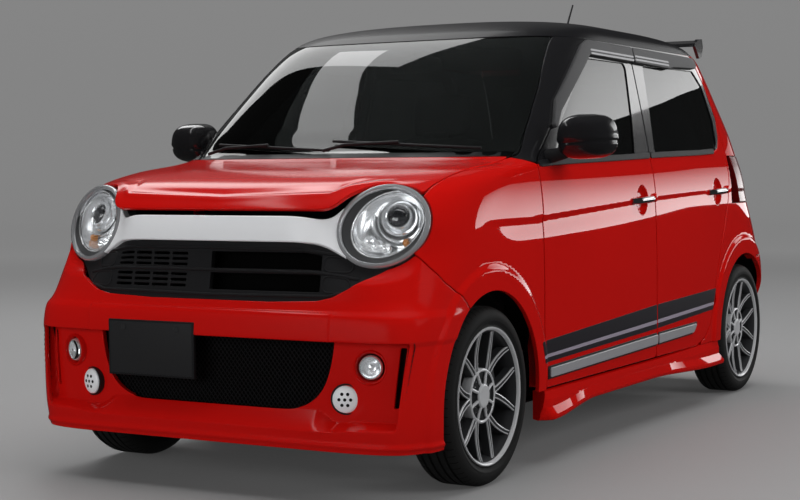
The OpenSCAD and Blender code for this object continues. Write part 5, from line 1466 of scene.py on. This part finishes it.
# painted light: the paper glows, weakly near the car and more towards the wall, standing in for light on the backdrop
paper = grain(finish("studioPaper", (0.275, 0.275, 0.277), 0.6), 40, 0.02)
paperNodes, paperLinks = paper.node_tree.nodes, paper.node_tree.links
reach = paperNodes.new("ShaderNodeVectorMath")
reach.operation = "LENGTH"
glow = paperNodes.new("ShaderNodeMapRange")
for key, value in studio["glow"].items():
    glow.inputs[key].default_value = value
paperLinks.new(paperNodes["Texture Coordinate"].outputs["Object"], reach.inputs[0])
paperLinks.new(reach.outputs["Value"], glow.inputs["Value"])
paperLinks.new(glow.outputs["Result"], paperNodes["Principled BSDF"].inputs["Emission Strength"])
paperNodes["Principled BSDF"].inputs["Emission Color"].default_value = (1, 1, 1, 1)
bowlMesh.materials.append(paper)
bowl = bpy.data.objects.new("studioBowl", bowlMesh)
bpy.context.scene.collection.objects.link(bowl)


# soft box, its upper edge as bright as fade times the lower one
def softBox(name, place, target, wide, tall, power, fade=1.0):
    light = bpy.data.lights.new(name, "AREA")
    light.shape = "RECTANGLE"
    light.size, light.size_y, light.energy = wide, tall, power
    if fade < 1:
        light.use_nodes = True
        nodes, links = light.node_tree.nodes, light.node_tree.links
        spot, split, ramp = (nodes.new("ShaderNode" + kind) for kind in ("NewGeometry", "SeparateXYZ", "MapRange"))
        ramp.inputs["To Min"].default_value = 1.0
        ramp.inputs["To Max"].default_value = fade
        links.new(spot.outputs["Parametric"], split.inputs[0])
        links.new(split.outputs["Y"], ramp.inputs["Value"])
        links.new(ramp.outputs["Result"], nodes["Emission"].inputs["Strength"])
    obj = bpy.data.objects.new(name, light)
    obj.location = place
    if target:
        obj.rotation_euler = (Vector(target) - Vector(place)).to_track_quat("-Z", "Y").to_euler()
    else:
        obj.rotation_euler = (0, 0, math.radians(studio["screenTurn"]))  # facing straight down
    bpy.context.scene.collection.objects.link(obj)
    return obj


lights = [  # name, place, target, width, height, power, fade, seen in reflections
    ("topFill", (0.0, 0.4, 6.4), (0.0, 0.4, 0.0), 8.0, 8.0, 480, 1, False),
    ("ledgeBox", (-2.2, -1.3, 4.4), (0.0, -1.3, 0.5), 5.0, 0.35, 13, 1, True),
    ("lowSideBox", (3.4, 8.95, 1.5), (1.2, 0.3, 1.5), 5.6, 1.15, 62, 0.15, True),
    ("highSideBox", (2.85, 8.95, 4.05), (0.7, 0.3, 4.05), 4.3, 2.4, 80, 0.1, True),
    ("screenBox", (-4.15, 2.44, 4.6), None, 5.5, 2.2, 85, 1, True),
    ("hoodBox", (-5.0, 6.2, 5.4), (0.0, -1.1, 1.0), 7.0, 4.5, 7, 1, True),
    ("noseFill", (-1.0, -7.5, 1.6), (0.0, -1.5, 0.6), 5.0, 2.5, 160, 1, False),
    ("sideFill", (7.5, -0.5, 3.6), (0.7, 0.2, 0.7), 4.0, 3.0, 270, 1, False),
]
for name, spot, target, wide, tall, power, fade, shown in lights:
    box = softBox(name, spot, target, wide, tall, power, fade)
    box.visible_glossy = shown
    box.visible_camera = False
bowl.visible_glossy = False
world = bpy.data.worlds.new("studioAir")
bpy.context.scene.world = world
world.use_nodes = True
world.node_tree.nodes["Background"].inputs["Color"].default_value = (studio["world"],) * 3 + (1,)
bpy.context.scene.view_settings.view_transform = "Standard"
print("camera and lights ready")
